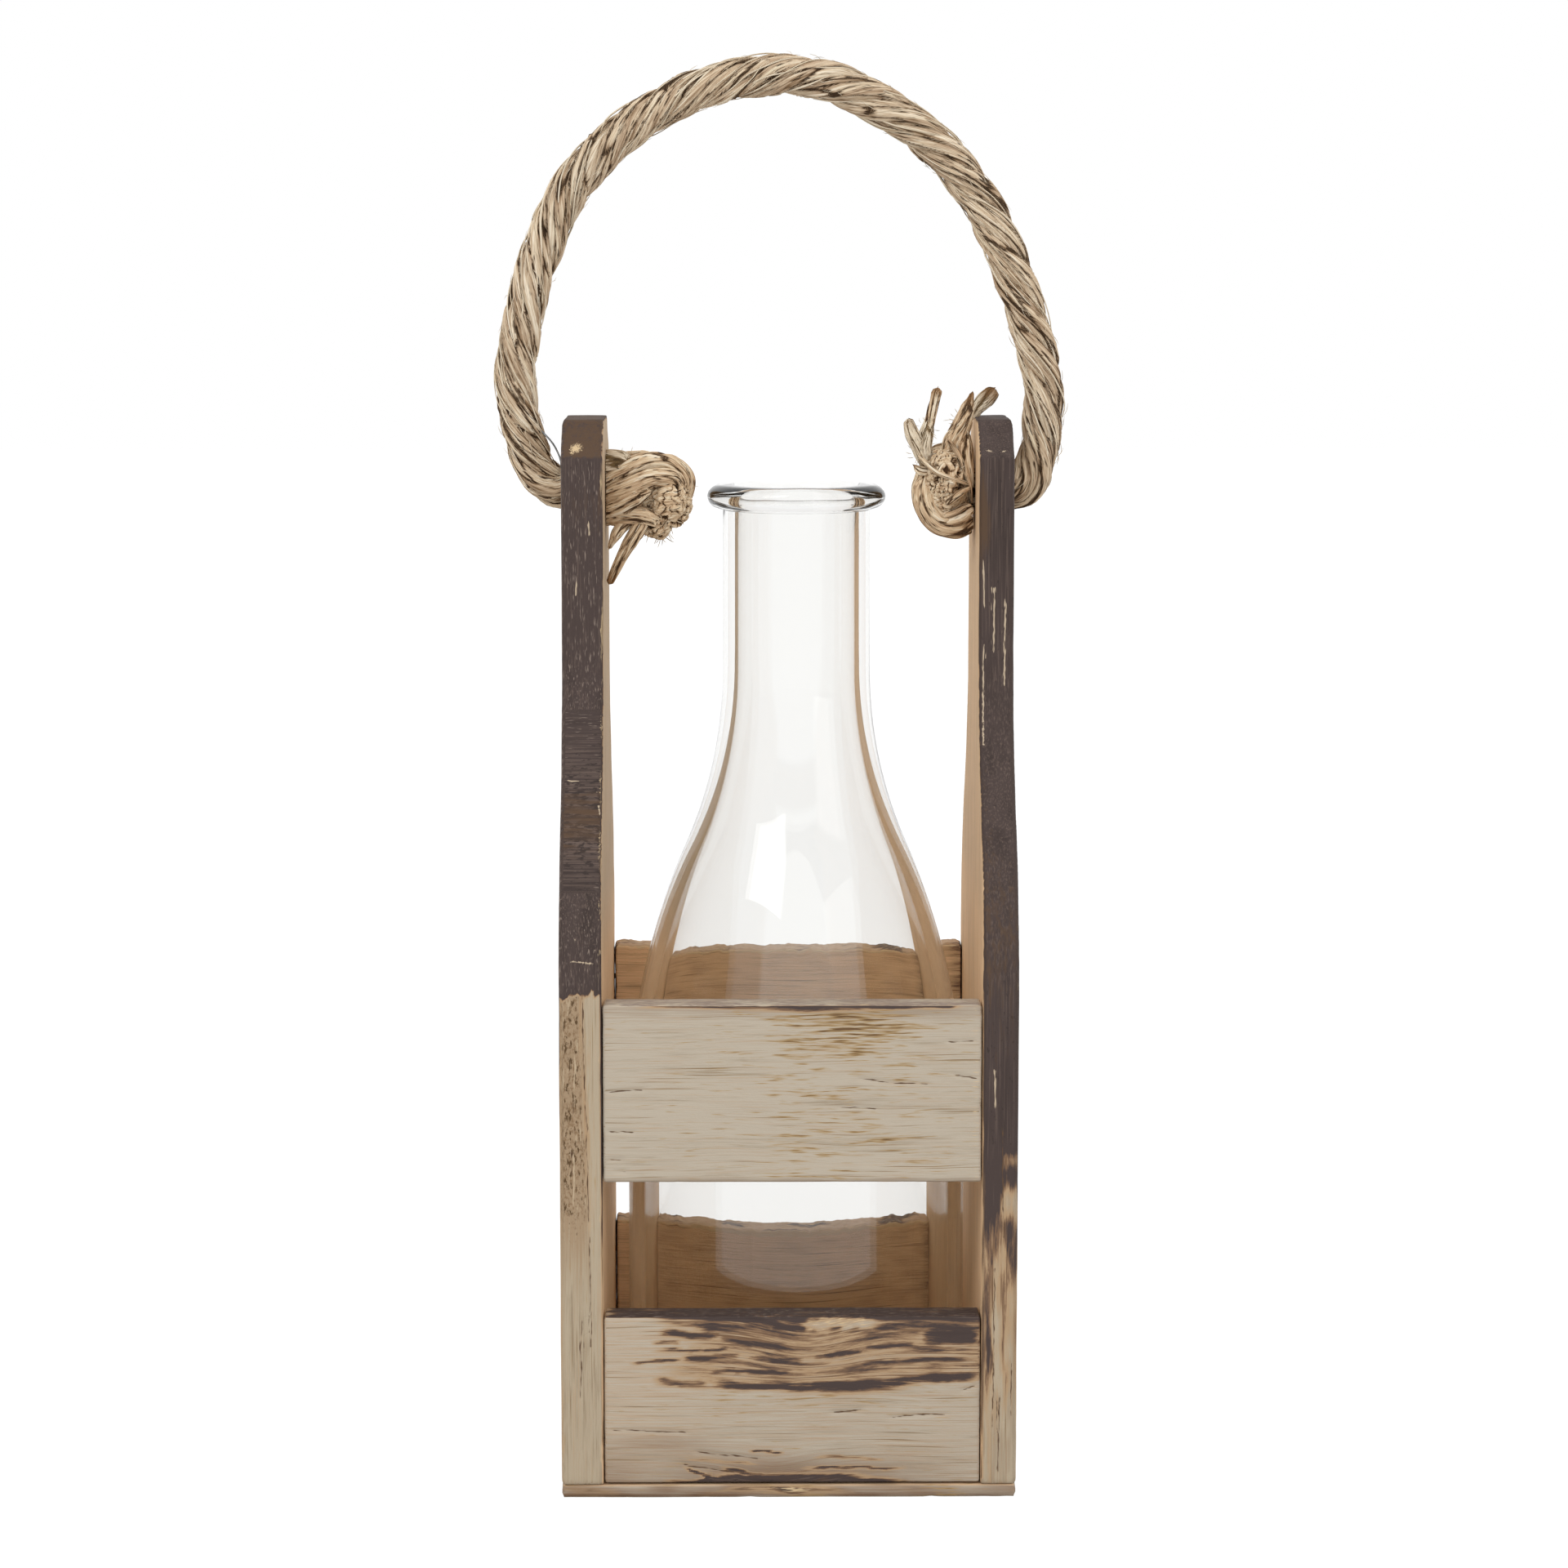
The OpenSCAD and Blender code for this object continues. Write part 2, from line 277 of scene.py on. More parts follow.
def fibre_relief(along, turn, seed, coarse=1.1):
    """How far a strand's surface stands out, its painted crease shade with its strip's tone, and its strip.
    """
    c, s = cos(turn), sin(turn)
    at = Vector((along / STRIP_LONG + seed, coarse * c, coarse * s - seed))
    (first, second, _, _), (middle, _, _, _) = noise.voronoi(at)
    strip = noise.noise(7.7 * middle) * 1.8
    tilt = (at - middle).dot(Vector((0, -s, c)))
    crease = max(0, 1 - (second - first) / 0.09)
    straw = noise.noise(Vector((along / STRAW_LONG - seed, 3.2 * coarse * c + seed, 3.2 * coarse * s)))
    flake = noise.noise(Vector((along / FLAKE_LONG + seed, 3 * coarse * c, 3 * coarse * s + seed)))
    fine = max(0, 1 - abs(straw) / 0.10)
    relief = 0.46 * strip + 0.6 * tilt + 0.2 * straw + 0.3 * flake - 0.6 * crease - 0.24 * fine
    return relief, min(1, crease + 0.3 * fine) + 0.2 * strip, strip


def point_layer(bm, kind, name):
    """A layer of values at the points of a bmesh, made when it isn't there yet."""
    layers = getattr(bm.verts.layers, kind)
    return layers.get(name) or layers.new(name)


def roll(bm, rings, sides, place):
    """Rolls a grid to a closed tube in bm; place(ring, turn) gives point, grain, crease shade and tone, tip.
    """
    grain = point_layer(bm, "float_vector", "grain")
    crease_shade_and_tone = point_layer(bm, "float", "crease_shade_and_tone")
    tip = point_layer(bm, "float", "tip")
    made = bmesh.ops.create_grid(bm, x_segments=rings - 1, y_segments=sides, size=0.5)["verts"]
    for v in made:
        ring = round((v.co.x + 0.5) * (rings - 1))
        side = round((v.co.y + 0.5) * sides) % sides
        v.co, v[grain], v[crease_shade_and_tone], v[tip] = place(ring, 2 * pi * side / sides)
    merged = bmesh.ops.find_doubles(bm, verts=made, dist=1e-7)["targetmap"]
    bmesh.ops.weld_verts(bm, targetmap=merged)
    made = [v for v in made if v.is_valid]
    rims = {e for v in made for e in v.link_edges if e.is_boundary}
    bmesh.ops.holes_fill(bm, edges=list(rims), sides=0)
    bmesh.ops.recalc_face_normals(bm, faces=list({f for v in made for f in v.link_faces}))


def direction(line, i):
    """Which way a line runs at one of its points."""
    return (line[min(i + 1, len(line) - 1)] - line[max(i - 1, 0)]).normalized()


def frames_along(line, first=Vector((0, 1, 0))):
    """For each point of a line: its direction and two directions across it that never spin."""
    made, across = [], Vector(first)
    for i in range(len(line)):
        ahead = direction(line, i)
        across = (across - across.dot(ahead) * ahead).normalized()
        made.append((ahead, across, ahead.cross(across)))
    return made


def to_object(bm, name, *materials):
    """A finished bmesh in millimetres as an object at the origin, in metres."""
    bmesh.ops.scale(bm, vec=(MM, MM, MM), verts=bm.verts)
    mesh = bpy.data.meshes.new(name)
    bm.to_mesh(mesh)
    bm.free()
    mesh.shade_smooth()
    for material in materials:
        mesh.materials.append(material)
    made = bpy.data.objects.new(name, mesh)
    scene.collection.objects.link(made)
    print(f"{name}: {sum(len(p.vertices) - 2 for p in mesh.polygons)} triangles")
    return made


print("a strand stands out at its start by", round(fibre_relief(0, 0, 0)[0], 2), "mm")


# %% [markdown]
# ## The laid rope
# Three strands wind round the line to the left, one turn in 46 mm, which is the loose lay of a
# craft rope. Each is wider than thick, so that it presses against its neighbours and leaves a
# crease between. Painted shade darkens the creases and the side of each strand that faces the
# rope's middle. The fibres inside a strand are twisted back the other way, so they run closer to
# the rope's own direction than the strand does. Inside the boards the rope is squeezed by its hole.

# %% Rope
LAY, BACK_TWIST = 46.0, 80.0
STRAND_OUT, STRAND_THICK, STRAND_WIDE, STRAND_SIDES = 3.25, 3.15, 3.95, 60
rope_frames = [(ahead, Vector((-ahead.z, 0, ahead.x)), Vector((0, 1, 0)))
               for ahead, _, _ in frames_along(rope_line)]
rope_step = rope_length / (len(rope_line) - 1)


def squeeze(point):
    """How much of its size the rope keeps: less inside the boards, where the hole holds it."""
    return 0.93 + 0.07 * ease(69.5, 74, abs(point.x) + max(0, point.z - HOLE_Z - 8))


def strand_middles(phase):
    """The middle of a strand beside each point of the rope, and which way is outward there."""
    middles, outwards = [], []
    for i, point in enumerate(rope_line):
        _, side, back = rope_frames[i]
        angle = phase + 2 * pi * i * rope_step / LAY
        outward = cos(angle) * side + sin(angle) * back
        middles.append(point + STRAND_OUT * squeeze(point) * outward)
        outwards.append(outward)
    return middles, outwards


bm = bmesh.new()
for number in range(3):
    middles, outwards = strand_middles(2 * pi * number / 3 + 0.5)

    def place(ring, turn, middles=middles, outwards=outwards, number=number):
        ahead, outward = direction(middles, ring), outwards[ring]
        outward = (outward - outward.dot(ahead) * ahead).normalized()
        beside = ahead.cross(outward)
        along = ring * rope_step
        fibre_turn = turn - 2 * pi * along / BACK_TWIST
        relief, crease_shade_and_tone, strip = fibre_relief(along, fibre_turn, 7.3 * number)
        swell = 1 + 0.10 * rough(along / 17, 3.1 * number, 0)
        thick, wide = STRAND_THICK * swell + relief, STRAND_WIDE * swell + relief
        keep = squeeze(rope_line[ring])
        point = middles[ring] + keep * (thick * cos(turn) * outward + wide * sin(turn) * beside)
        lean = fibre_turn + 0.05 * strip * along
        grain = Vector((along + 90 * number + 60 * strip, 3.5 * cos(lean), 3.5 * sin(lean)))
        # The side of a strand that faces the rope's middle gets painted shade
        return point, grain, max(crease_shade_and_tone, 0.9 * ease(0.1, -0.6, cos(turn))), 0.0

    roll(bm, len(rope_line), STRAND_SIDES, place)
rope = to_object(bm, "laid_rope", rope_fibre)
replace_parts(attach(rope, "handle"), "handle_rope")

# %% [markdown]
# ## Loose straws and fuzz
# Some straws have slipped out of their strand and bridge the creases, and short ends stand off
# the edge. They are thin tapered tubes on their own lines. Without them the outline would be as
# clean as plastic.

# %% Straws on the rope
STRAWS, STRAW_POINTS, STRAW_SIDES = 120, 18, 6
dice = random.Random(11)


def straw(bm, line, radius, sides, flat=1.0, seed=0.0):
    """A thin tapered tube along a line."""
    frames = frames_along(line, Vector((0.3, 1, 0.2)))

    def place(ring, turn):
        share = ring / (len(line) - 1)
        taper = min(1, 0.25 + 4 * share, 0.2 + 3 * (1 - share))
        _, across, up = frames[ring]
        size = radius * taper
        point = line[ring] + size * (cos(turn) * across + flat * sin(turn) * up)
        grain = Vector((ring * 1.3 + seed, size * cos(turn), size * sin(turn) + seed))
        return point, grain, 0.0, 0.0

    roll(bm, len(line), sides, place)


bm = bmesh.new()
for number in range(STRAWS):
    start = dice.uniform(8, rope_length - 62)
    long = dice.uniform(16, 52)
    angle, lay = dice.uniform(0, 2 * pi), dice.uniform(58, 105)
    high, wave = dice.uniform(6.0, 6.5), dice.uniform(0.1, 0.4)
    line = []
    for k in range(STRAW_POINTS):
        share = k / (STRAW_POINTS - 1)
        along = start + long * share
        i = min(int(along / rope_step), len(rope_line) - 1)
        _, side, back = rope_frames[i]
        around = angle + 2 * pi * along / lay + 0.12 * sin(9 * share + number)
        dive = 1 - min(1, 5 * share, 5 * (1 - share))
        away = (high - dive + wave * sin(5 * share + number)) * squeeze(rope_line[i])
        line.append(rope_line[i] + away * (cos(around) * side + sin(around) * back))
    radius, flat = dice.uniform(0.2, 0.42), dice.uniform(0.5, 1)
    straw(bm, smooth_line(line[::3], 2.2), radius, STRAW_SIDES, flat, seed=3.1 * number)
straws = to_object(bm, "loose_straws", straw_fibre)
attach(straws, "handle")

# %% Fuzz on the rope
FUZZ, FUZZ_SIDES = 240, 3
bm = bmesh.new()
for number in range(FUZZ):
    along = dice.uniform(18, rope_length - 18)
    i = int(along / rope_step)
    ahead, side, back = rope_frames[i]
    angle = dice.uniform(0, 2 * pi)
    outward = cos(angle) * side + sin(angle) * back
    start = rope_line[i] + 5.9 * outward
    lean = dice.choice((-1, 1)) * dice.uniform(1.5, 5) * ahead
    lift = dice.uniform(0.5, 1.4) * outward
    curl = dice.uniform(-1.2, 1.2) * ahead.cross(outward)
    line = [start, start + 0.45 * lean + 0.8 * lift + 0.2 * curl, start + lean + lift + curl]
    straw(bm, smooth_line(line, 1.2), dice.uniform(0.06, 0.13), FUZZ_SIDES, seed=number)
fuzz = to_object(bm, "rope_fuzz", straw_fibre)
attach(fuzz, "handle")

# %% [markdown]
# ## Knot parts
# Both knots are made of two things. A bundle is a strand with its own width and thickness at
# each point, and an end that may be ragged. A lump is a ball of crushed fibre: its surface is
# crumpled, with holes where the fibres part. Points are given as (x, y, height above the hole).
# A strand that meets a side board is pressed flat against it.

# %% Knot helpers
# The side boards' inner faces are at x -57 and 59, and the knots stay between them. A free end
# may lean over a board above its top.
LEFT_LIMIT, RIGHT_LIMIT, OVER_BOARD = -56.8, 58.5, 328.5
BUNDLE_STEP, BUNDLE_SIDES = 0.7, 44


def knot_points(points):
    return [Vector((x, y, HOLE_Z + up)) for x, y, up in points]


def between_boards(x):
    return min(RIGHT_LIMIT, max(LEFT_LIMIT, x))


def bundle(bm, points, radii, seed, flat=0.8, facing=(0, -1, 0), ragged=0.0, tip=0.0, rugged=1.0,
           free=False):
    """A strand through the points, with a radius at each, wider than thick where it faces."""
    line = smooth_line(knot_points(points), BUNDLE_STEP)
    count, facing = len(line) - 1, Vector(facing)

    def place(ring, turn):
        ahead = direction(line, ring)
        across = ahead.cross(facing).normalized()
        up = across.cross(ahead)
        share = ring / count
        at = share * (len(radii) - 1)
        low = min(int(at), len(radii) - 2)
        radius = radii[low] + (radii[low + 1] - radii[low]) * ease(0, 1, at - low)
        end = min(ring, count - ring) * BUNDLE_STEP / min(1.2, radius)
        radius *= sqrt(max(0.02, 1 - max(0, 1 - end) ** 2))
        relief, crease_shade_and_tone, strip = fibre_relief(ring * BUNDLE_STEP, turn, seed, 0.9)
        relief *= rugged * min(1, radius / 3.2)
        torn = ragged * ease(0.82, 1, share) * rough(2.2 * cos(turn), 2.2 * sin(turn), 0, seed)
        point = (line[ring] + (radius + relief) * cos(turn) * across
                 + (radius * flat + relief) * sin(turn) * up + torn * ahead)
        if not (free and point.z > OVER_BOARD):
            point.x = between_boards(point.x)
        lean = turn + 0.03 * strip * ring
        grain = Vector((BUNDLE_STEP * ring + 31 * seed + 60 * strip,
                        radius * cos(lean) + seed, radius * sin(lean)))
        return point, grain, crease_shade_and_tone, tip * ease(0.72, 0.98, share)

    roll(bm, len(line), BUNDLE_SIDES, place)


def lump(bm, centre, size, seed, crumple, holes, cell=3.0):
    """A ball of crushed fibre round a centre, with painted shade in its holes and creases."""
    grain = point_layer(bm, "float_vector", "grain")
    crease_shade_and_tone = point_layer(bm, "float", "crease_shade_and_tone")
    centre, shift = knot_points([centre])[0], Vector((seed, -seed, 2 * seed))
    for v in bmesh.ops.create_icosphere(bm, subdivisions=6, radius=1)["verts"]:
        outward = v.co.normalized()
        point = centre + Vector(outward[i] * size[i] for i in range(3))
        swirl = point + 2.2 * Vector([rough(*(point / 5.5 + shift), 11 * k) for k in range(3)])
        folds = noise.noise(swirl / cell + shift)
        hole = max(0, noise.noise(point / 3.4 + 2 * shift) - 0.3) * 7 * holes
        crease = max(0, 1 - abs(folds) / 0.10)
        crumpled = crumple * (0.9 * folds + 0.4 * noise.noise(swirl / 1.1) - 0.75 * crease)
        v.co = point + outward * (crumpled - hole)
        v.co.x = between_boards(v.co.x)
        v[grain] = Vector((swirl.x * 0.5 + swirl.z * 0.5, swirl.y * 1.2, swirl.z - swirl.x * 0.4)) + shift
        # Holes and creases in the crushed fibre get painted shade
        v[crease_shade_and_tone] = min(1, 0.8 * hole + 0.8 * crease * crumple)


def random_vector():
    return Vector((dice.gauss(0, 1), dice.gauss(0, 1), dice.gauss(0, 1)))


def stray_fibres(bm, anchors, count, reach):
    """Short loose ends round some places of a knot, but none that would reach a board."""
    for k in range(count):
        x, y, up, spread = dice.choice(anchors)
        start = knot_points([(x, y, up)])[0]
        outward = random_vector().normalized()
        start = start + spread * outward
        curl = random_vector() * 0.35
        line = [start, start + reach * (0.5 * outward + 0.3 * curl), start + reach * (outward + curl)]
        if all(-56 < p.x < 57.8 for p in line):
            straw(bm, smooth_line(line, 0.9), dice.uniform(0.07, 0.16), FUZZ_SIDES, seed=k)


print("the knots lie between x", LEFT_LIMIT, "and", RIGHT_LIMIT, "mm")


# %% [markdown]
# ## The left knot
# Behind the left board the rope is folded over itself. Three flattened strands run from the
# board along the front, bend round the far end and come back underneath into a crushed mass.
# The cut end of one strand lies on top and two pointed ends hang down beside the board.

# %% Strands of the left knot
# Each strand: its points, and its radius at even steps along it. The first four run in front.
LEFT_STRANDS = (
    (((-58, -4, 2.4), (-51.6, -6.4, 5.8), (-44.6, -7.2, 8.9), (-38.8, -6.0, 9.3), (-35.0, -4.2, 7.5),
      (-31.9, -2.4, 4.0), (-31.9, -0.8, 0.0), (-33.8, 0.2, -6), (-37, 1.0, -9.5)),
     (2.9, 3.4, 3.5, 3.1, 3.0, 2.7, 2.4, 2.2)),
    (((-58, -5, -2.2), (-51.4, -8.2, 0.6), (-44.6, -9.2, 3.8), (-39.4, -8.8, 4.8), (-35.0, -7.2, 4.2),
      (-32.6, -4.6, 1.6)), (2.6, 3.1, 3.1, 2.6, 1.6)),
    (((-58, -4.4, -6.4), (-52, -8.6, -3.6), (-46.6, -9.8, -0.9), (-42.6, -9.4, 0.6)),
     (2.8, 3.2, 2.9, 1.4)),
    (((-58, -3, -8.8), (-51, -6.6, -7.4), (-45, -7, -7.6), (-40, -6, -9.4)), (2.4, 3.0, 3.0, 2.2)),
    (((-58, 4, 3), (-51, 7.6, 5.6), (-44, 9, 7.2), (-37.5, 7.4, 6.6), (-33, 4, 2.4), (-32.4, 1.6, -3)),
     (3.0, 3.4, 3.6, 3.4, 3.0, 2.4)),
    (((-58, 5, -3), (-50, 9.4, -1.6), (-43, 10.2, -0.2), (-36.6, 7.6, -1), (-33, 3.4, -4.6)),
     (2.8, 3.4, 3.6, 3.2, 2.6)),
    (((-58, 3, -8), (-50, 7, -8), (-43, 8, -7.6), (-37.6, 4.6, -8.4), (-36.6, 0.6, -10.4)),
     (2.6, 3.2, 3.4, 3.0, 2.2)),
    (((-58, 1, 8), (-51, 3, 9.4), (-45, 2.4, 10), (-40, 1.2, 9.6)), (2.6, 3.0, 2.8, 2.0)),
)
LEFT_STRAYS = [(-41, -3.4, -10, 4.4), (-40, -2.4, -12.5, 2.5), (-37, -3, -4, 7), (-50, -4, 8, 4),
               (-33, -1, 2, 3)]
print("left knot:", len(LEFT_STRANDS), "strands")

# %% Left knot
bm = bmesh.new()
lump(bm, (-42.5, 1.6, -0.5), (11.3, 8.4, 9.4), 3.1, crumple=0.8, holes=0.5)
lump(bm, (-36.6, -3.8, -3.6), (6.6, 7.0, 8.0), 5.7, crumple=1.1, holes=1.2, cell=2.3)
lump(bm, (-40.9, -3.6, -10.0), (4.8, 4.4, 4.6), 8.2, crumple=1.5, holes=0.9, cell=1.7)
for number, (points, radii) in enumerate(LEFT_STRANDS):
    bundle(bm, points, radii, 2.7 * number + 1, flat=0.85, facing=(0, -1 if number < 4 else 1, 0.2),
           rugged=1.0 if number < 3 else 1.3)
bundle(bm, ((-48.5, -6.4, -8), (-52.6, -7.2, -11.8), (-56.0, -7.6, -18.0)), (2.4, 2.0, 0.7), 23.9,
       flat=0.6, tip=0.4)
bundle(bm, ((-45.2, -6.4, -9.5), (-49.8, -7.4, -16.5), (-53.2, -7.8, -23), (-56.0, -7.6, -29)),
       (2.6, 2.2, 1.6, 1.2), 27.1, flat=0.7, tip=0.9)
bundle(bm, ((-44.4, -8, -9.5), (-48.2, -8.8, -16), (-51.4, -9, -21.6)), (1.3, 1.3, 0.5), 29.4, flat=0.7)
left_knot = to_object(bm, "left_rope_knot", knot_fibre)
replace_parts(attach(left_knot, "handle"), "left_knot")

bm = bmesh.new()
stray_fibres(bm, LEFT_STRAYS, 120, 2.4)
bundle(bm, ((-57.5, -5.0, 8.4), (-53, -6.2, 8.5), (-47.6, -6.4, 7.0)), (4.5, 4.1, 2.0), 21.3,
       ragged=1.6, rugged=1.3)
left_ends = to_object(bm, "left_knot_fibres", straw_fibre)
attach(left_ends, "handle")

# %% [markdown]
# ## The right knot
# The right knot is a tight ball. A broad smooth strand wraps its lower left, and its middle is
# a crushed brown clump with a pale cross-laid strand beside the board. Its torn ends stand up:
# a pale fan, a narrow ribbon and two flat tails. The widest tail leans over the board's top.
# It is soft, and a piece of its own.

# %% Strands of the right knot
# Each strand: its points, its radius at even steps along it, and its thickness for a width of 1
RIGHT_STRANDS = (
    (((58.2, -7, -8.4), (53.6, -8.6, -10.4), (48, -8.4, -9.6), (44, -7.8, -5.4), (42.6, -6.6, 0.4),
      (43.4, -5, 5.6)), (3.0, 3.8, 4.0, 3.9, 3.4, 2.2), 0.7),
    (((58.2, -8.8, -4.8), (54.4, -10.6, -7), (50.4, -10.2, -8.4), (46.8, -9, -8.4)),
     (2.2, 2.6, 2.4, 1.4), 0.6),
    (((58.2, -2, -11), (53, -2.6, -12.4), (47.6, -2, -10.4), (43.6, -1.4, -5.4), (42.4, -1, 0.6),
      (43.6, -0.6, 6.4)), (2.4, 2.8, 3.2, 3.4, 3.2, 2.4), 0.8),
    (((58.2, 6, -9), (52, 7, -10), (46.4, 6.6, -6.4), (43.6, 5.4, 0), (45.4, 5, 6.6), (50, 5, 10.4)),
     (3.0, 3.8, 4.0, 3.8, 3.4, 2.4), 0.7),
    (((58.2, 10, -3), (52, 12, -3.4), (47, 11, 0), (46.4, 9.4, 5), (51, 8.6, 9.4), (57, 7, 10.6)),
     (2.6, 3.2, 3.4, 3.2, 3.0, 2.4), 0.7),
    (((57.6, -7.4, 0.8), (56.4, -8.6, 6.6), (55.6, -7.4, 12.6), (56.2, -4.6, 18.6)),
     (1.4, 2.4, 2.5, 1.3), 0.55),
    (((53.8, -7.4, 5.2), (53.6, -7.2, 11), (55.0, -5.4, 16)), (1.2, 2.0, 1.2), 0.6),
    (((57.4, 0, 8), (53, 0, 11.6), (48, -1, 11.4), (44.4, -2.4, 8.8)), (3.2, 3.6, 3.2, 2.2), 0.8),
    (((50.2, -7.6, 16.4), (53.4, -9.6, 12.4), (55.6, -10.8, 7), (57.2, -10.4, 2.2), (58.0, -8.4, -3.4)),
     (0.5, 0.6, 0.7, 0.6, 0.5), 0.9),
    (((41.0, -6.6, 11.4), (43.6, -9.6, 8.8), (47, -12.2, 6.2), (52, -13, 4.2), (57.6, -10, 2.4)),
     (0.6, 0.8, 0.8, 0.8, 0.5), 0.9),
    (((57.4, -10.6, 1.6), (53.6, -13.4, -0.4), (49.6, -13.2, -3.8)), (0.7, 1.1, 0.9), 0.8),
)
SMOOTH_STRANDS, BACK_STRANDS = (0, 2), (3, 4)
# Each torn end: the same, and how brown its tip is
RIGHT_ENDS = (
    (((44.0, -6.0, 17), (44.8, -6.2, 22), (45.8, -6, 27), (47.2, -5.8, 32.2)),
     (1.2, 1.5, 1.4, 1.7), 0.45, 0.8),
    (((50.4, -5.6, 10.4), (52.4, -6.2, 16.4), (55.0, -6.2, 21.6), (57.0, -6.2, 26.4), (58.0, -6, 31.2)),
     (2.0, 3.0, 2.8, 2.5, 0.7), 0.35, 0.85),
    (((49.4, -6.2, 12), (50.4, -6.8, 16), (52.6, -6.8, 20.6)), (1.4, 1.7, 0.7), 0.5, 0.7),
    (((44.6, -7.4, 6.4), (41.6, -8, 6.8), (39.6, -7.6, 8.2)), (1.4, 1.6, 0.7), 0.5, 0.6),
)
# The pale fan: the points, radii and brown of its two halves
FAN = (
    (((43.6, -5.6, 7.6), (41.4, -6.6, 13.4), (39.2, -7, 18), (37.9, -7, 22.4)), (1.6, 2.3, 2.3, 1.7), 0.3),
    (((44.0, -5.4, 8.0), (43.0, -6.2, 13.6), (43.6, -6.4, 18), (44.6, -6.2, 22.6)), (1.6, 2.4, 2.3, 1.5), 0),
)
RIGHT_STRAYS = [(50, -6, 4, 6.5), (42, -6, 12, 3), (55, -6, 22, 3), (44, -5, 20, 2.5), (47, -4, 12, 4)]
TAIL = ((54.6, 1, 12), (56.4, 2, 17.5), (57.6, 2.6, 21.6), (60.2, 2.8, 25.8), (63, 2.8, 28.8),
        (65.4, 2.6, 31.6))
print("right knot:", len(RIGHT_STRANDS), "strands and", len(RIGHT_ENDS) + len(FAN) + 1, "torn ends")

# %% Right knot
bm = bmesh.new()
lump(bm, (50.2, 0.5, 0.2), (8.2, 12.2, 12.6), 11.4, crumple=0.8, holes=0.3)
lump(bm, (50.0, -5.6, 3.6), (6.8, 7.4, 10.4), 14.3, crumple=1.2, holes=1.1, cell=2.0)
for number, (points, radii, flat) in enumerate(RIGHT_STRANDS):
    bundle(bm, points, radii, 3.3 * number + 41, flat=flat,
           facing=(-0.3, 1 if number in BACK_STRANDS else -1, -0.2),
           rugged=0.7 if number in SMOOTH_STRANDS else 1.2)
for number, (points, radii, flat, tip) in enumerate(RIGHT_ENDS):
    bundle(bm, points, radii, 2.9 * number + 76.8, flat=flat, ragged=1.4, tip=tip, rugged=0.8)
right_knot = to_object(bm, "right_rope_knot", knot_fibre)
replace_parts(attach(right_knot, "handle"), "right_knot")

bm = bmesh.new()
stray_fibres(bm, RIGHT_STRAYS, 110, 2.2)
for number, (points, radii, tip) in enumerate(FAN):
    bundle(bm, points, radii, 2.9 * number + 71, flat=0.35, ragged=1.4, tip=tip, rugged=0.6)
right_ends = to_object(bm, "right_knot_fibres", straw_fibre)
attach(right_ends, "handle")

# %% Leaning tail
bm = bmesh.new()
bundle(bm, TAIL, (1.0, 1.1, 1.3, 2.1, 2.9, 2.3), 97.3, flat=0.3, ragged=1.2, tip=0.75, rugged=0.8,
       free=True)
leaning_tail = to_object(bm, "leaning_rope_tail", straw_fibre)
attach(leaning_tail, "handle")
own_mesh(leaning_tail)

# %% [markdown]
# ## The wire in the rope
# A thin galvanised wire is laid in with the fibres, which makes the handle keep its arch. It
# shows only where it leaves the rope beside the left board and slips into the hole.

# %% Wire
WIRE_RADIUS, WIRE_SIDES = 0.3, 6
galvanised, tree = new_material("galvanised steel wire")
cloudy = add(tree, "TexNoise", {"Scale": 900, "Detail": 2},
             {"Vector": add(tree, "TexCoord").outputs["Object"]})
tone = add(tree, "ValToRGB", (), {0: cloudy.outputs[0]}, ((0.35, "#7E8285"), (0.65, "#A9ADB0")))
surface = add(tree, "BsdfPrincipled", {"Metallic": 0.85, "Roughness": 0.42}, {"Base Color": tone.outputs[0]})
add(tree, "OutputMaterial", (), {"Surface": surface.outputs[0]})
inside = [p + Vector((0, 0, 4.8 if p.x < -60 else 0)) for p in rope_line
          if p.z < HOLE_Z + 1 and -70 < p.x < 0][::4]
bow = knot_points([(-70.5, -1.2, 6.5), (-71.2, -1.8, 10), (-73.2, -2.2, 14.4), (-76.2, -2.6, 18),
                   (-80.5, -2.4, 22)])
arch = [p for p in rope_line if p.z > HOLE_Z + 27 or p.x > 0][::6]
wire_line = smooth_line(inside + bow + arch, 1.6)
wire_frames = frames_along(wire_line)


def wire_place(ring, turn):
    _, across, up = wire_frames[ring]
    return wire_line[ring] + WIRE_RADIUS * (cos(turn) * across + sin(turn) * up), Vector(), 0.0, 0.0


bm = bmesh.new()
roll(bm, len(wire_line), WIRE_SIDES, wire_place)
wire = to_object(bm, "laid_in_wire", galvanised)
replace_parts(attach(wire, "handle"), "core_wire")

# %% [markdown]
# ## Scorched and limewashed pine
# The frame is sawn pine with a thin limewash. Parts of it were burnt with a torch and brushed,
# so charcoal lies over tan and brown streaks. Each layer below is one row of a table: a mark
# that the wood carries at that place, a noise stretched along the grain, and the level at which
# the layer's colour takes over. The noise makes every border ragged along the grain, as fire
# and wear do. Pine's grain lines are about 0.5 mm wide, and they are drawn at that size.

# %% Wood patterns and layers
MARKS = ("char", "ochre", "brown", "raw", "face", "bark", "wear", "fleck", "crack", "cracked",
         "scratch", "scratched")
# For each kind of line: the mark that holds the distance from it, and the one that is 1 along it
LINES = (("crack", "cracked"), ("scratch", "scratched"))
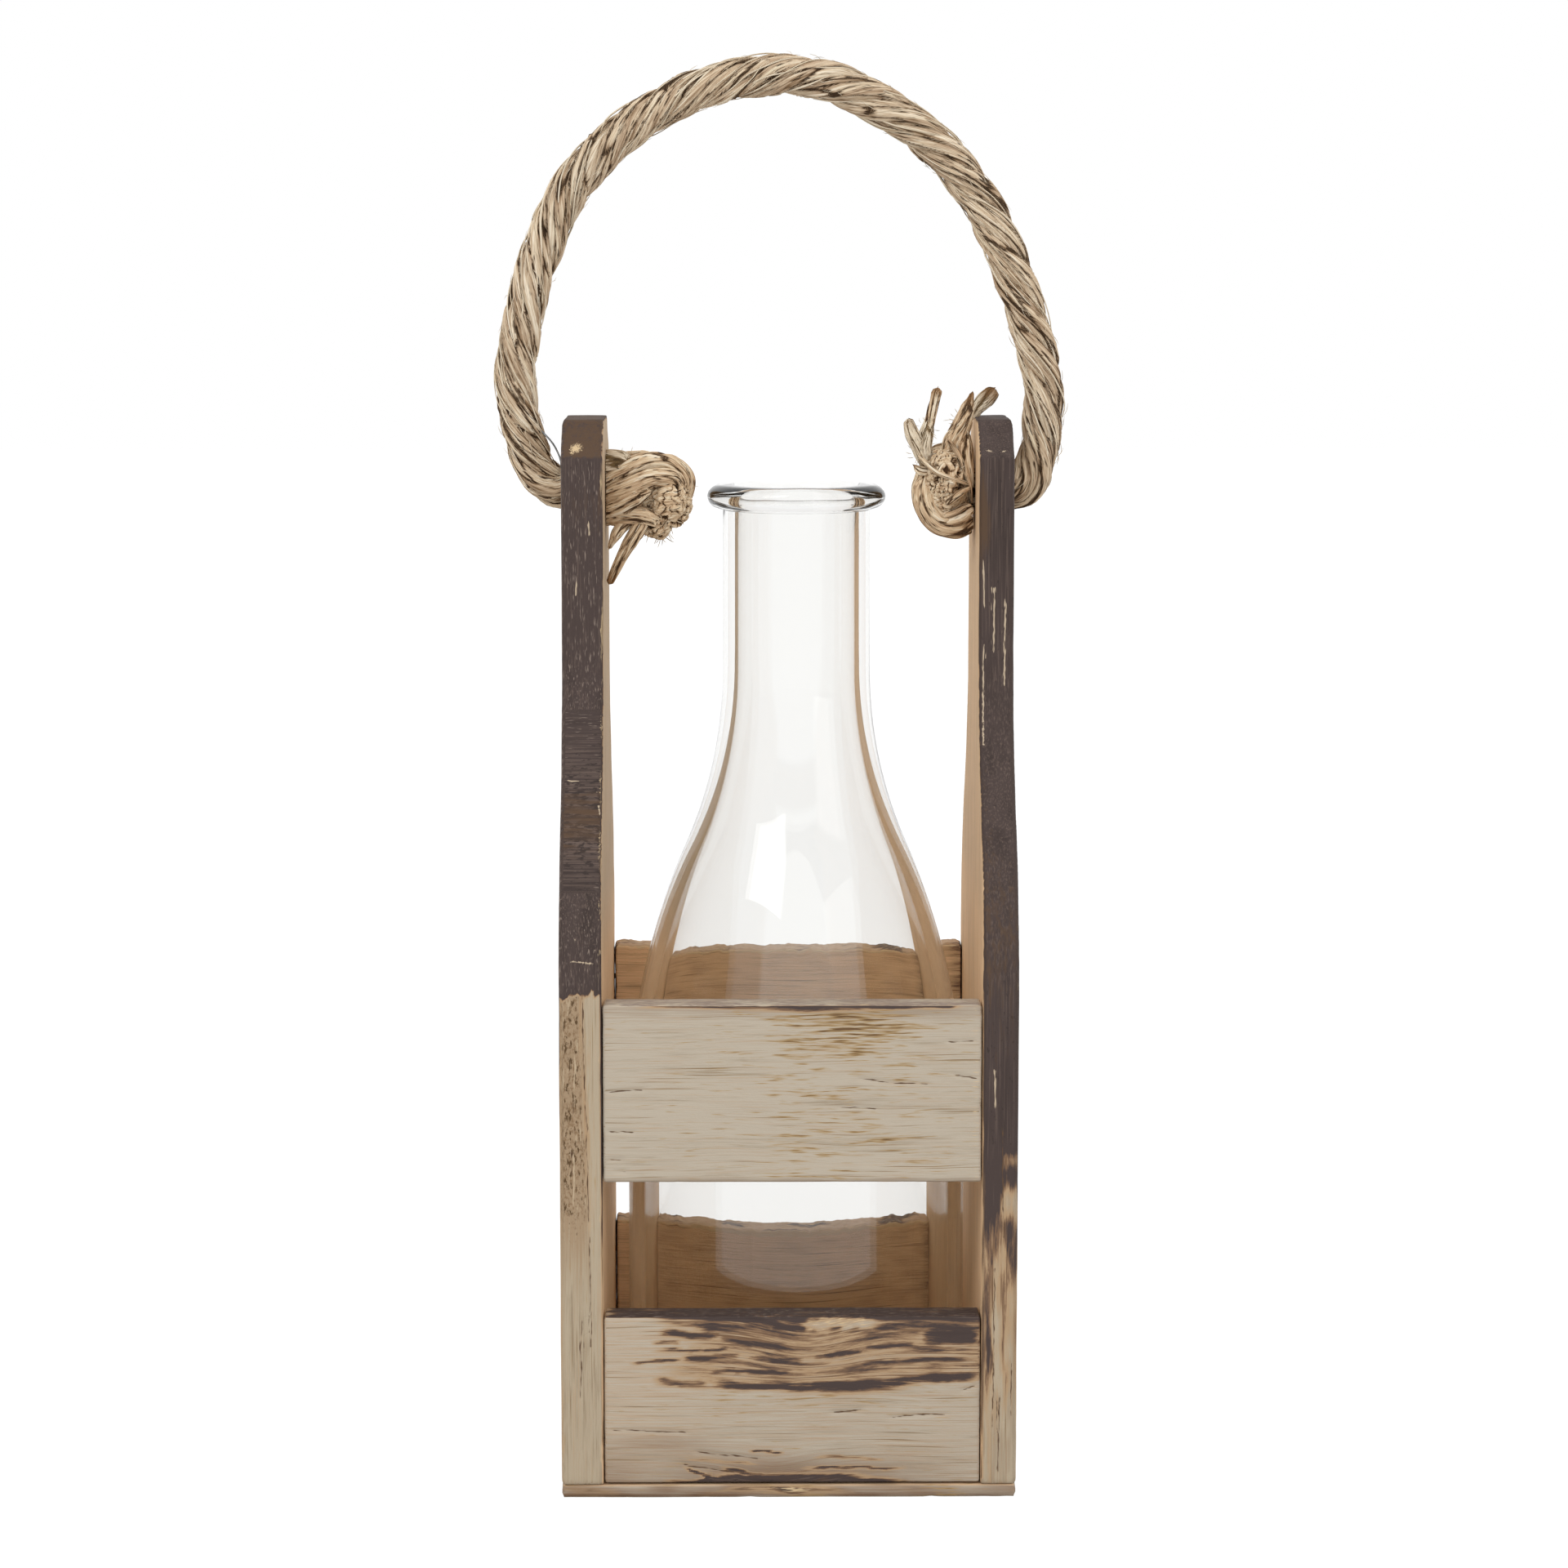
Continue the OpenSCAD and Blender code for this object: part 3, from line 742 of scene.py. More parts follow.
# Each noise: its length along the grain and its width across it in mm, its detail and roughness
PATTERNS = {"fine": (26, 0.5, 3, 0.6), "tone": (70, 6, 2, 0.6), "hair": (30, 0.5, 1, 0.6),
            "dash": (10, 0.7, 2, 0.6), "streak": (20, 1.6, 5, 0.68), "fleck": (3.2, 0.38, 1, 0.6),
            "cork": (2.4, 0.9, 3, 0.6), "grit": (1.5, 0.9, 3, 0.7), "ring": (170, 2.4, 2, 0.5)}
# Each layer: mark, its weight, noise, the levels where it begins and is full, its colour
LAYERS = (
    ("raw", 0.8, "fine", 0.54, 1.10, "#E0BB92"),
    ("brown", 0.8, "fine", 0.52, 1.25, "#7C6049"),
    ("brown", 0.8, "streak", 1.10, 1.60, "#5E4633"),
    ("brown", 0.0, "hair", 0.64, 0.76, "#8A7355"),
    ("face", 0.5, "ring", 1.02, 1.10, "#93806A"),
    ("face", 0.5, "ring", 1.10, 1.20, "#7B664E"),
    ("ochre", 0.4, "dash", 0.66, 0.80, "#A88B5F"),
    ("ochre", 0.4, "dash", 0.76, 0.92, "#64492F"),
    ("bark", 0.6, "fine", 0.62, 1.0, "#A38B6F"),
    ("bark", 0.6, "grit", 1.06, 1.24, "#846A4D"),
    ("bark", 0.6, "cork", 1.14, 1.22, "#594329"),
    ("bark", 0.6, "dash", 1.18, 1.28, "#C3AF92"),
    ("char", 0.9, "streak", 0.64, 0.92, "#B09270"),
    ("char", 0.9, "hair", 0.98, 1.10, "#73573F"),
    ("char", 0.9, "streak", 0.90, 1.01, "#7B5F48"),
    ("char", 0.9, "streak", 1.00, 1.09, "#463935"),
    ("char", 0.9, "tone", 1.36, 1.60, "#392D29"),
    ("char", 0.9, "fine", 1.39, 1.74, "#6C5B52"),
    ("char", 0.9, "cork", 1.52, 1.62, "#352A26"),
    ("brown", 0.6, "streak", 0.98, 1.22, "#55402F"),
    ("fleck", 0.5, "fleck", 0.95, 1.15, "#8D7D72"),
    ("wear", 0.7, "fleck", 0.95, 1.14, "#CFB58E"),
    ("scratched", 1.0, "fleck", 1.25, 1.40, "#BBA88F"),
    ("cracked", 1.0, "fleck", 1.30, 1.50, "#5A4330"),
)
print("wood has", len(PATTERNS), "noises and", len(LAYERS), "layers")

# %% Wood material


def wood_material(name, deep, middle, pale):
    """Pine in three tones under all the layers, with its grain and cracks raised a little."""
    material, tree = new_material(name)
    pattern = grain_patterns(tree, PATTERNS, (7.1, 3.7, 5.3))
    marks = {key: add(tree, "Attribute", attribute_name=key).outputs["Fac"] for key in MARKS}
    for line, window in LINES:
        # The signed distance from a line in mm becomes 1 on it and 0 beside it, inside its window
        away = add(tree, "Math", (), {0: marks[line]}, operation="ABSOLUTE")
        near = add(tree, "MapRange", {1: 0.0, 2: 1.1, 3: 1.0, 4: 0.0}, {0: away.outputs[0]})
        marks[window] = add(tree, "Math", (), {0: marks[window], 1: near.outputs[0]},
                            operation="MULTIPLY").outputs[0]
    tone = add(tree, "Math", {1: 0.42}, {0: pattern["fine"]}, operation="MULTIPLY")
    for key, share in (("tone", 0.32), ("streak", 0.26)):
        tone = add(tree, "Math", {1: share}, {0: pattern[key], 2: tone.outputs[0]},
                   operation="MULTIPLY_ADD")
    colour = add(tree, "ValToRGB", (), {0: tone.outputs[0]},
                 ((0.34, deep), (0.46, middle), (0.56, middle), (0.68, pale))).outputs[0]
    for mark, weight, key, low, high, code in LAYERS:
        colour, _ = lay_over(tree, colour, marks[mark], weight, pattern[key], low, high, code)
    rise = add(tree, "Math", {1: -0.6}, {0: marks["cracked"], 2: tone.outputs[0]},
               operation="MULTIPLY_ADD")
    rise = add(tree, "Math", {1: 0.35}, {0: pattern["cork"], 2: rise.outputs[0]},
               operation="MULTIPLY_ADD")
    bump = add(tree, "Bump", {"Strength": 0.6, "Distance": 0.00035}, {"Height": rise.outputs[0]})
    surface = add(tree, "BsdfPrincipled", {"Roughness": 0.74, "Specular IOR Level": 0.32},
                  {"Base Color": colour, "Normal": bump.outputs[0]})
    add(tree, "OutputMaterial", (), {"Surface": surface.outputs[0]})
    return material


limewashed = wood_material("limewashed sawn pine", "#9C8C76", "#BAAE9C", "#C9BFAE")
scorched = wood_material("scorched sawn pine", "#8D7A62", "#B3A38B", "#C2B39C")
browned = wood_material("smoke-browned pine", "#96795C", "#B09072", "#BEA488")
print("wood materials:", [wood.name for wood in (limewashed, scorched, browned)])

# %% [markdown]
# ## Working the wood
# A plank starts as a plain bevelled block. Voxel remeshing gives it an even skin of small
# faces, and then every point can move: the broad faces wave a little as brushed wood does, and
# the sharp edges lose chips. The same pass writes the marks that the material reads, because a
# mark depends on where on the plank a point is. Spots, cracks and strokes of soot are placed
# with three small functions.

# %% Placing marks
NO_LINE = (9.0, 0.0)


def bell(value, centre, width):
    """1 at the centre, falling softly to about a third one width away."""
    return exp(-((value - centre) / width) ** 2)


def nearest(px, pz, lines):
    """The signed distance from the nearest of some lines, and how surely the point is on it."""
    best = (99.0, *NO_LINE)
    for ax, az, bx, bz in lines:
        length = sqrt((bx - ax) ** 2 + (bz - az) ** 2)
        along = ((px - ax) * (bx - ax) + (pz - az) * (bz - az)) / length
        away = ((px - ax) * (bz - az) - (pz - az) * (bx - ax)) / length
        beyond = max(0, -along, along - length)
        window = ease(1.7, 1.1, abs(away)) * ease(-0.2, 2.2, along) * ease(-0.2, 2.2, length - along)
        best = min(best, (abs(away) + 2 * beyond, away, window))
    return best[1:]


def burnt_strokes(x, z, strokes):
    """How deep the darkest of some strokes is at a place: ends, half width in mm and depth of each."""
    deepest = 0.0
    for ax, az, bx, bz, half, depth in strokes:
        along = (x - ax) / (bx - ax)
        taper = ease(-0.06, 0.25, along) * ease(1.06, 0.75, along)
        away = z - az - (bz - az) * along
        deepest = max(deepest, depth * taper * ease(2.1 * half, 0.3 * half, abs(away)))
    return deepest


print("one width away a bell is down to", round(bell(1, 0, 1), 2))

# %% Working a plank


def apply_modifiers(made):
    """Replaces an object's mesh by what its modifiers make of it."""
    bpy.context.view_layer.update()
    shaped = made.evaluated_get(bpy.context.evaluated_depsgraph_get())
    mesh, old = bpy.data.meshes.new_from_object(shaped), made.data
    made.modifiers.clear()
    made.data = mesh
    mesh.name = made.name
    bpy.data.meshes.remove(old)


def wear_move(x, y, z, grain, edge, marks, nails):
    """How far a point of a plank moves outwards in mm: waves, chips, bark, cracks and nail dents."""
    along, across, through = grain
    chip = rough(along / 8, across / 5, through / 5) + 0.35 * rough(along / 2.5, across / 2, through / 2)
    chip = max(0, chip)
    move = 0.10 * rough(along / 26, across / 7, through / 7)
    move -= exp(-edge / 0.8) * (0.10 + 0.75 * chip * chip)
    move -= 0.4 * marks.get("bark", 0) * max(0, rough(x / 1.9, y / 2.4, z / 3.2))
    move -= 0.3 * marks["cracked"] * max(0, 1 - abs(marks["crack"]) / 0.9)
    for nx, ny, nz in nails:
        away = sqrt((x - nx) ** 2 + (y - ny) ** 2 + (z - nz) ** 2)
        move -= 0.3 * ease(4.2, 2.2, away)
    return move


def work_wood(made, voxel, edge_distance, grain_of, marks_of, nails=()):
    """Remeshes a plank, wears its edges and writes its grain and marks, all in mm."""
    skin = made.modifiers.new("even skin", "REMESH")
    skin.mode, skin.voxel_size = "VOXEL", voxel * MM
    apply_modifiers(made)
    mesh = made.data
    grains, written = [], {key: [] for key in MARKS}
    normals = [v.normal.copy() for v in mesh.vertices]
    for v, normal in zip(mesh.vertices, normals):
        x, y, z = v.co / MM
        grain = grain_of(x, y, z)
        marks = marks_of(x, y, z, normal)
        for line, window in LINES:
            marks[line], marks[window] = marks.get(line, NO_LINE)
        v.co += wear_move(x, y, z, grain, edge_distance(x, y, z), marks, nails) * MM * normal
        grains += grain
        for key in MARKS:
            written[key].append(marks.get(key, 0.0))
    mesh.attributes.new("grain", "FLOAT_VECTOR", "POINT").data.foreach_set("vector", grains)
    for key in MARKS:
        mesh.attributes.new(key, "FLOAT", "POINT").data.foreach_set("value", written[key])
    mesh.shade_smooth()
    print(f"{made.name}: {2 * len(mesh.polygons)} triangles after remeshing")


def block(name, low, high, material, bevel=0.5):
    """A bevelled block between two corners in mm."""
    bm = bmesh.new()
    bmesh.ops.create_cube(bm, size=1)
    low, high = Vector(low), Vector(high)
    bmesh.ops.scale(bm, vec=high - low, verts=bm.verts)
    bmesh.ops.translate(bm, vec=(low + high) / 2, verts=bm.verts)
    bmesh.ops.bevel(bm, geom=bm.edges[:], offset=bevel, offset_type="OFFSET", segments=2, profile=0.5,
                    affect="EDGES", material=-1)
    return to_object(bm, name, material)


def block_edges(low, high):
    """The distance from a block's nearest edge, for any point on its surface."""
    def distance(x, y, z):
        return sorted(min(abs(c - a), abs(c - b)) for c, a, b in zip((x, y, z), low, high))[1]
    return distance


def box_mm(node):
    """The low and high corner of a CAD node in mm."""
    return [tuple(round(c / MM, 2) for c in corner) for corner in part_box(node)]


print("lower front slat between", box_mm("lower_front_slat"))

# %% [markdown]
# ## The front slats
# These two planks are the face of the lantern. Their limewash is worn, with short ochre dashes
# in the middle of the upper one. The lower one was burnt along its upper third, down to a
# border that sags in the middle, and its grain sags with it. All positions are in millimetres
# from the middle of the base.

# %% Marks on the upper front slat
# How far a normal leans towards a face's own direction before a point counts as on that face
UP, BACK, SIDE = 0.7, 0.5, 0.75
UPPER_CRACKS = ((-56, 106.2, -49.5, 105.8), (-54.5, 102.4, -48, 102.2), (-56.6, 127, -43, 127.8),
                (20, 131.2, 44, 129), (-56.6, 115, -46, 114.4), (49, 133, 58.6, 130.6),
                (14, 122.3, 28, 121.8), (47, 143, 58, 142.5))
TOP_CRACKS = ((-50, -69, -4, -69.1), (-6, -69.1, 52, -68.9))


def upper_front_marks(x, y, z, normal):
    wave = rough(x / 14, z / 6, y / 6, 4)
    if normal.z > UP:
        return {"char": 0.16 * ease(44, 30, x) + 0.04 + 0.15 * wave, "fleck": 1.15 + 0.3 * wave,
                "wear": 0.45 * ease(36, 44, x), "crack": nearest(x, y, TOP_CRACKS)}
    if normal.y > BACK:
        return {"brown": 0.1 + 0.2 * wave, "raw": 0.9, "char": 0.05 + 0.15 * wave}
    top = ease(147, 153.5, z + 1.5 * wave)
    # Ochre dashes right of the middle
    ochre = 0.05 + 0.28 * bell(x, 14, 30)
    ochre += 0.5 * bell(x, 22, 18) * bell(z, 147, 5)
    ochre += 0.2 * bell(x, 8, 14) * bell(z, 140, 4)
    # A smoky upper part and a dark lower edge
    brown = 0.03 + 0.28 * top + 0.16 * top * bell(x, 24, 26)
    brown += 0.4 * ease(101.0, 99.4, z + 0.5 * wave)
    # A thin burnt line along the upper edge
    char = 0.8 * ease(152.4, 153.8, z + 0.4 * wave) * ease(-50, -34, x) * ease(56, 46, x)
    char += 0.22 * bell(x, 24, 15) * bell(z, 150, 2.0)
    char += 0.5 * bell(x, 8, 26) * bell(z, 152.6, 1.0)
    return {"ochre": ochre, "brown": brown, "char": char, "wear": 0.5 * bell(x, 57, 2.5),
            "crack": nearest(x, z + 0.5 * rough(x / 9, 0, 0, 3), UPPER_CRACKS)}


print("upper front slat:", len(UPPER_CRACKS), "cracks in front and", len(TOP_CRACKS), "on top")

# %% Marks on the lower front slat

# The lower slat's strokes of soot: x and z of both ends, half width, depth
BURNT_STROKES = (
    (-42, 51.8, -18, 51.2, 1.2, 0.66), (-26, 50.6, 4, 47.0, 1.6, 0.60), (-43, 48.6, -32, 48.8, 0.5, 0.55),
    (-43, 46.6, -14, 46.4, 0.5, 0.64), (-50, 42.4, -31, 43.8, 0.5, 0.66), (-35, 44.0, -12, 44.6, 0.8, 0.64),
    (-16, 44.8, 8, 42.6, 0.9, 0.62), (-29, 40.0, 6, 39.4, 0.7, 0.66), (-43, 36.8, -22, 35.6, 1.2, 0.58),
    (-30, 36.0, 20, 34.2, 1.6, 0.64), (-2, 34.4, 44, 36.4, 2.0, 0.64), (26, 36.0, 64, 39.6, 1.6, 0.64),
    (4, 43.6, 26, 46.4, 0.8, 0.56), (20, 47.4, 42, 48.6, 1.1, 0.56), (16, 42.4, 61, 43.4, 0.9, 0.60),
    (38, 50.8, 61, 50.8, 3.0, 0.70), (24, 53.0, 44, 52.6, 0.8, 0.58), (-8, 53.6, 8, 53.2, 0.9, 0.64),
    (-33, 9.0, -21, 5.4, 0.6, 0.74), (-22, 9.2, -5, 6.6, 0.7, 0.66), (0, 9.4, 38, 9.0, 0.5, 0.62),
    (-34, 12.4, -8, 10.4, 0.5, 0.50), (4, 12.8, 32, 12.0, 0.5, 0.45), (-28, 5.6, 28, 5.6, 1.6, 0.72),
    (-13, 14.6, -1, 14.2, 0.35, 0.8))
LOWER_CRACKS = ((-56.6, 10.4, -55.0, 10.0), (-56.8, 8.0, -55.2, 7.9), (-56, 21.5, -30, 20.2),
                (12, 27, 24, 27.3), (-30, 14.4, -8, 12), (30, 25, 50, 26.4), (-34, 10.4, -12, 7.2),
                (52, 33, 58.6, 35.5))


def lower_front_marks(x, y, z, normal):
    wave = rough(x / 9, z / 3, y / 3, 9)
    if normal.z > UP:
        return {"char": 0.3 + 0.42 * ease(-58, -53, x + 2 * wave), "fleck": 0.75}
    if normal.y > BACK:
        return {"brown": 0.15 + 0.2 * wave, "raw": 0.85, "char": 0.08 + 0.2 * wave}
    # The burnt field above its border, and the strokes of soot in it
    border = 33.4 + 5.0 * ease(22, 60, x) + 1.6 * ease(-8, -40, x)
    reach = x + 15 * rough(0, z / 1.5, 2, 5) + 5 * wave
    above = ease(-1.2, 1.2, z - border + 1.5 * wave) * ease(-48, -24, reach)
    swayed = z + 0.7 * rough(x / 8, z / 6, 3, 6) + 0.25 * rough(x / 2.5, z / 1.5, 3, 7)
    char = max(above * (0.46 + 0.14 * bell(z, 54.5, 3)), 1.08 * burnt_strokes(x, swayed, BURNT_STROKES))
    # The singed lower and upper edges
    char += 0.7 * ease(6.6, 4.9, z + wave) * ease(-44, -30, x) * ease(41, 28, x)
    char += 0.45 * ease(55.4, 56.6, z + 0.6 * wave) * ease(-50, -36, x)
    # A bare patch near the upper edge, where the burnt skin came off
    patch = ease(2, 7, x) * ease(30, 22, x) * ease(52.4, 54.4, z + 2.2 * rough(x / 2.6, z / 1.6, 0, 9))
    brown = 0.16 + 0.3 * bell(x, -38, 16) * bell(z, 17, 3) + 0.65 * bell(x, -3, 42) * ease(17, 6, z)
    brown += 0.25 * ease(-40, -57, x) * ease(24, 6, z)
    return {"char": min(1.05, char) * (1 - 0.5 * patch), "brown": brown,
            "wear": 0.62 * patch + 0.2 * patch * rough(x / 1.6, z / 0.9, 0, 4),
            "ochre": 0.06 + 0.2 * bell(z, border - 3, 4) * ease(-50, -20, x),
            "raw": 0.08 + 0.08 * ease(-10, -50, x),
            "crack": nearest(x, z + 0.5 * rough(x / 9, 0, 0, 7), LOWER_CRACKS)}


print("lower front slat:", len(BURNT_STROKES), "strokes and", len(LOWER_CRACKS), "cracks")

# %% Front slats


def upper_grain(x, y, z):
    return x, z + 0.9 * rough(x / 48, z / 22, 0) + 0.25 * rough(x / 13, z / 8, 5), y


def lower_grain(x, y, z):
    sag = 4 * bell(x, 6, 16) * ease(32, 46, z) + 3 * bell(x, -5, 16) * ease(19, 9, z)
    return x, z + sag + 0.8 * rough(x / 40, z / 18, 8), y + 40


for node, grain_of, marks_of in (("upper_front_slat", upper_grain, upper_front_marks),
                                 ("lower_front_slat", lower_grain, lower_front_marks)):
    low, high = box_mm(node)
    plank = block("worn_" + node, low, high, limewashed)
    work_wood(plank, 0.72, block_edges(low, high), grain_of, marks_of)
    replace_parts(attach(plank, "frame"), node)

# %% [markdown]
# ## The back slats
# The back slats face the candle, so their inner sides are browned. Outside, where nobody looks
# first, they keep the pale limewash with scorched ends. Their upper edges are rough, and
# the lower one dips in the middle.

# %% Marks on the back slats


def back_marks(node, dip):
    """The marks of a back slat whose upper edge dips by so many mm in the middle."""
    top = box_mm(node)[1][2]

    def marks(x, y, z, normal):
        wave = rough(x / 10, z / 4, y / 4, 17)
        edge = top - z - dip * bell(x, 0, 30)
        if normal.z > UP:
            return {"wear": 0.55, "char": 0.35 + 0.4 * wave + 0.5 * bell(x, 40, 6)}
        if normal.y < -BACK:
            char = 0.05 + 0.4 * ease(50, 58, x) + 0.2 * bell(x, 44, 7) * bell(edge, 2, 3)
            return {"brown": 0.08 + 0.25 * wave, "raw": 0.95, "char": char,
                    "wear": 0.9 * ease(1.8, 0.5, edge + 0.8 * wave)}
        ends = abs(abs(x - 1) - 58)
        return {"ochre": 0.5 * bell(x, -10, 30), "brown": 0.15 + 0.15 * wave, "face": 0.8,
                "char": 0.8 * ease(16, 2, ends + 8 * wave) + 0.7 * ease(3, 0.5, edge + wave)}
    return marks


BACK_SLATS = (("upper_back_slat", 0.8), ("lower_back_slat", 3.2))
print("dip of each back slat in mm:", dict(BACK_SLATS))

# %% Back slats
for node, dip in BACK_SLATS:
    low, high = box_mm(node)
    plank = block("worn_" + node, low, high, browned)
    seed = 60 + 10 * dip

    def grain_of(x, y, z, dip=dip, seed=seed):
        return x + seed, z + dip * bell(x, 0, 34) + 0.8 * rough(x / 44, z / 20, seed), y + seed

    work_wood(plank, 0.8, block_edges(low, high), grain_of, back_marks(node, dip))
    top = high[2]
    for v in plank.data.vertices:
        x, y, z = v.co / MM
        ragged = 0.6 + 0.7 * rough(x / 6, 3, dip) + 0.5 * rough(x / 2.2, y / 3, dip)
        ragged += 0.25 * rough(x / 0.9, y / 2, dip)
        v.co.z -= ease(top - 8, top - 0.6, z) * (dip * bell(x, 0, 34) + ragged) * MM
    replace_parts(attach(plank, "frame"), node)

# %% [markdown]
# ## The base board
# A thin square board carries the frame. Only its front edge shows much, as a pale strip with
# chipped yellow spots and painted shade along its foot.

# %% Base board
NAIL_X, NAIL_Y = (-63.5, 64.5), (-45, 0, 45)


def base_marks(x, y, z, normal):
    wave = rough(x / 12, y / 12, z / 3, 23)
    if normal.z > UP:
        return {"brown": 0.3 + 0.3 * wave, "ochre": 0.3, "raw": 0.6}
    if normal.z < -UP:
        return {"brown": 0.15 + 0.2 * wave, "face": 0.9}
    spots = bell(x, 3, 9) + 0.8 * bell(x, 49, 5)
    # The brown deepens in the lowest millimetre: painted shade where the board meets the table
    return {"brown": 0.68 + 0.5 * wave + 0.4 * ease(0.9, 0.2, z), "ochre": 0.1 + 0.5 * spots,
            "wear": 0.8 * spots * (0.6 + wave), "char": 0.16 + 0.5 * wave + 0.25 * bell(x, 3, 14)}


def base_grain(x, y, z):
    return x, y + 0.8 * rough(x / 50, y / 20, 31), z + 90


low, high = box_mm("base_board")
base = block("worn_base_board", low, high, limewashed)
nails = [(x, y, 0) for x in NAIL_X for y in NAIL_Y]
work_wood(base, 0.95, block_edges(low, high), base_grain, base_marks, nails)
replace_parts(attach(base, "frame"), "base_board")

# %% [markdown]
# ## The side boards
# A side board is a plank with swept shoulders. Its outline is drawn from a few points, with a
# round outward bend and a round inward one on each side, and then given its thickness. A drill
# of 14 mm makes the rope's hole before the skin is remeshed.

# %% Side board shape
FOOT_Z, SHOULDER_Z, MEET_Z, NECK_Z, CROWN_Z, TOP_Z = 4, 154, 208, 262, 318, 329
HALF_FOOT, HALF_NECK, HALF_CROWN = 70, 31, 16
BEND = 84.52
BEND_TURN = atan2(MEET_Z - SHOULDER_Z, 65.02)
DRILL_RADIUS = 7


def points_in(parts):
    return [part for part in parts if isinstance(part, bmesh.types.BMVert)]


def side_board(name, left, right, material):
    """A side board between two x places, with its rope hole."""
    bm = bmesh.new()
    last = bmesh.ops.create_vert(bm, co=(left, HALF_FOOT, FOOT_Z))["vert"][0]

    def draw_to(last, y, z):
        made = bmesh.ops.extrude_vert_indiv(bm, verts=[last])["verts"][0]
        made.co = (left, y, z)
        return made

    last = draw_to(last, HALF_FOOT, SHOULDER_Z)
    for y, z, turn in ((HALF_FOOT - BEND, SHOULDER_Z, BEND_TURN), (HALF_NECK + BEND, NECK_Z, -BEND_TURN)):
        turned = bmesh.ops.spin(bm, geom=[last], cent=(left, y, z), axis=(1, 0, 0), angle=turn, steps=14)
        last = points_in(turned["geom_last"])[0]
    draw_to(draw_to(last, HALF_NECK, CROWN_Z), HALF_CROWN, TOP_Z)
    bmesh.ops.mirror(bm, geom=bm.verts[:] + bm.edges[:], axis="Y", merge_dist=-1)
    for z in (FOOT_Z, TOP_Z):
        bmesh.ops.contextual_create(bm, geom=[v for v in bm.verts if abs(v.co.z - z) < 0.01])
    face = bmesh.ops.edgeloop_fill(bm, edges=bm.edges[:])["faces"]
    grown = bmesh.ops.extrude_face_region(bm, geom=face)["geom"]
    bmesh.ops.translate(bm, vec=(right - left, 0, 0), verts=points_in(grown))
    bmesh.ops.recalc_face_normals(bm, faces=bm.faces)
    board = to_object(bm, name, material)
    bm = bmesh.new()
    across = Matrix.Translation(((left + right) / 2, 0, HOLE_Z)) @ Matrix.Rotation(pi / 2, 4, "Y")
    bmesh.ops.create_cone(bm, segments=48, radius1=DRILL_RADIUS, radius2=DRILL_RADIUS, depth=40,
                          cap_ends=True, matrix=across)
    drill = to_object(bm, name + "_drill")
    cut = board.modifiers.new("rope hole", "BOOLEAN")
    cut.object, cut.operation = drill, "DIFFERENCE"
    apply_modifiers(board)
    bpy.data.objects.remove(drill)
    return board


def half_width(z):
    """Half the width of a side board at a height."""
    if z < SHOULDER_Z:
        return HALF_FOOT
    if z < MEET_Z:
        return HALF_FOOT - BEND + sqrt(BEND ** 2 - (z - SHOULDER_Z) ** 2)
    if z < NECK_Z:
        return HALF_NECK + BEND - sqrt(BEND ** 2 - (z - NECK_Z) ** 2)
    return HALF_NECK - max(0, z - CROWN_Z) * (HALF_NECK - HALF_CROWN) / (TOP_Z - CROWN_Z)


def from_outline(y, z):
    """How far inside a side board's outline a place is, its foot aside."""
    return min(half_width(z) - abs(y), TOP_Z - z)


def board_edges(left, right):
    """The distance from a side board's nearest edge, for any point on its surface."""
    def distance(x, y, z):
        return max(min(x - left, right - x), min(from_outline(y, z), z - FOOT_Z))
    return distance


print("half width at z 208 mm:", round(half_width(208), 1))

# %% [markdown]
# ## Grain and marks of the side boards
# The grain runs up each side board and bends round the wood knots that branches left. The
# marks are written face by face. Both outer faces are scorched along their outline. On its
# front edge the left board has bark under a charred top. The right one is charred at the top
# too, and brown streaks break through further down.

# %% Wood knots and grain
# Where branches left knots in the side boards: y, z, radius in mm
WOOD_KNOTS = ((26, 96, 5), (-31, 61, 3.5), (8, 214, 4), (-12, 148, 2.5))
# The right board's knots are the left one's turned upside down, about half this height
TURN_OVER = 320


def flowing(y, z):
    """The place across a board's grain: it sways along the board and bends round the knots."""
    across = y * (1 + 0.10 * sin(z / 60)) + 2.2 * rough(y / 40, z / 110, 71)
    for ky, kz, size in WOOD_KNOTS:
        near = exp(-((y - ky) / (2.2 * size)) ** 2 - ((z - kz) / (5 * size)) ** 2)
        across += near * size * (0.9 if y > ky else -0.9)
    return across


def knot_marks(y, z):
    """How far a place lies inside a wood knot, from 0 to 1."""
    return max(ease(size * 1.5, size * 0.7, sqrt((y - ky) ** 2 + ((z - kz) / 1.5) ** 2))
               for ky, kz, size in WOOD_KNOTS)


def left_board_grain(x, y, z):
    if -69.3 < x < -57.7:
        return (x + 7, z, y) if 188 < z < 240 else (z, y + 0.8 * rough(y / 18, z / 45, 41), x)
    return z, flowing(y, z), x


def right_board_grain(x, y, z):
    if 59.7 < x < 69.3:
        return z + 200, y + 0.8 * rough(y / 18, z / 45, 51), x + 0.25 * rough(x / 6, z / 28, 52)
    return z + 200, flowing(-y, TURN_OVER - z), x


print("a wood knot moves the grain by", round(flowing(30, 96) - flowing(30, 20), 1), "mm")

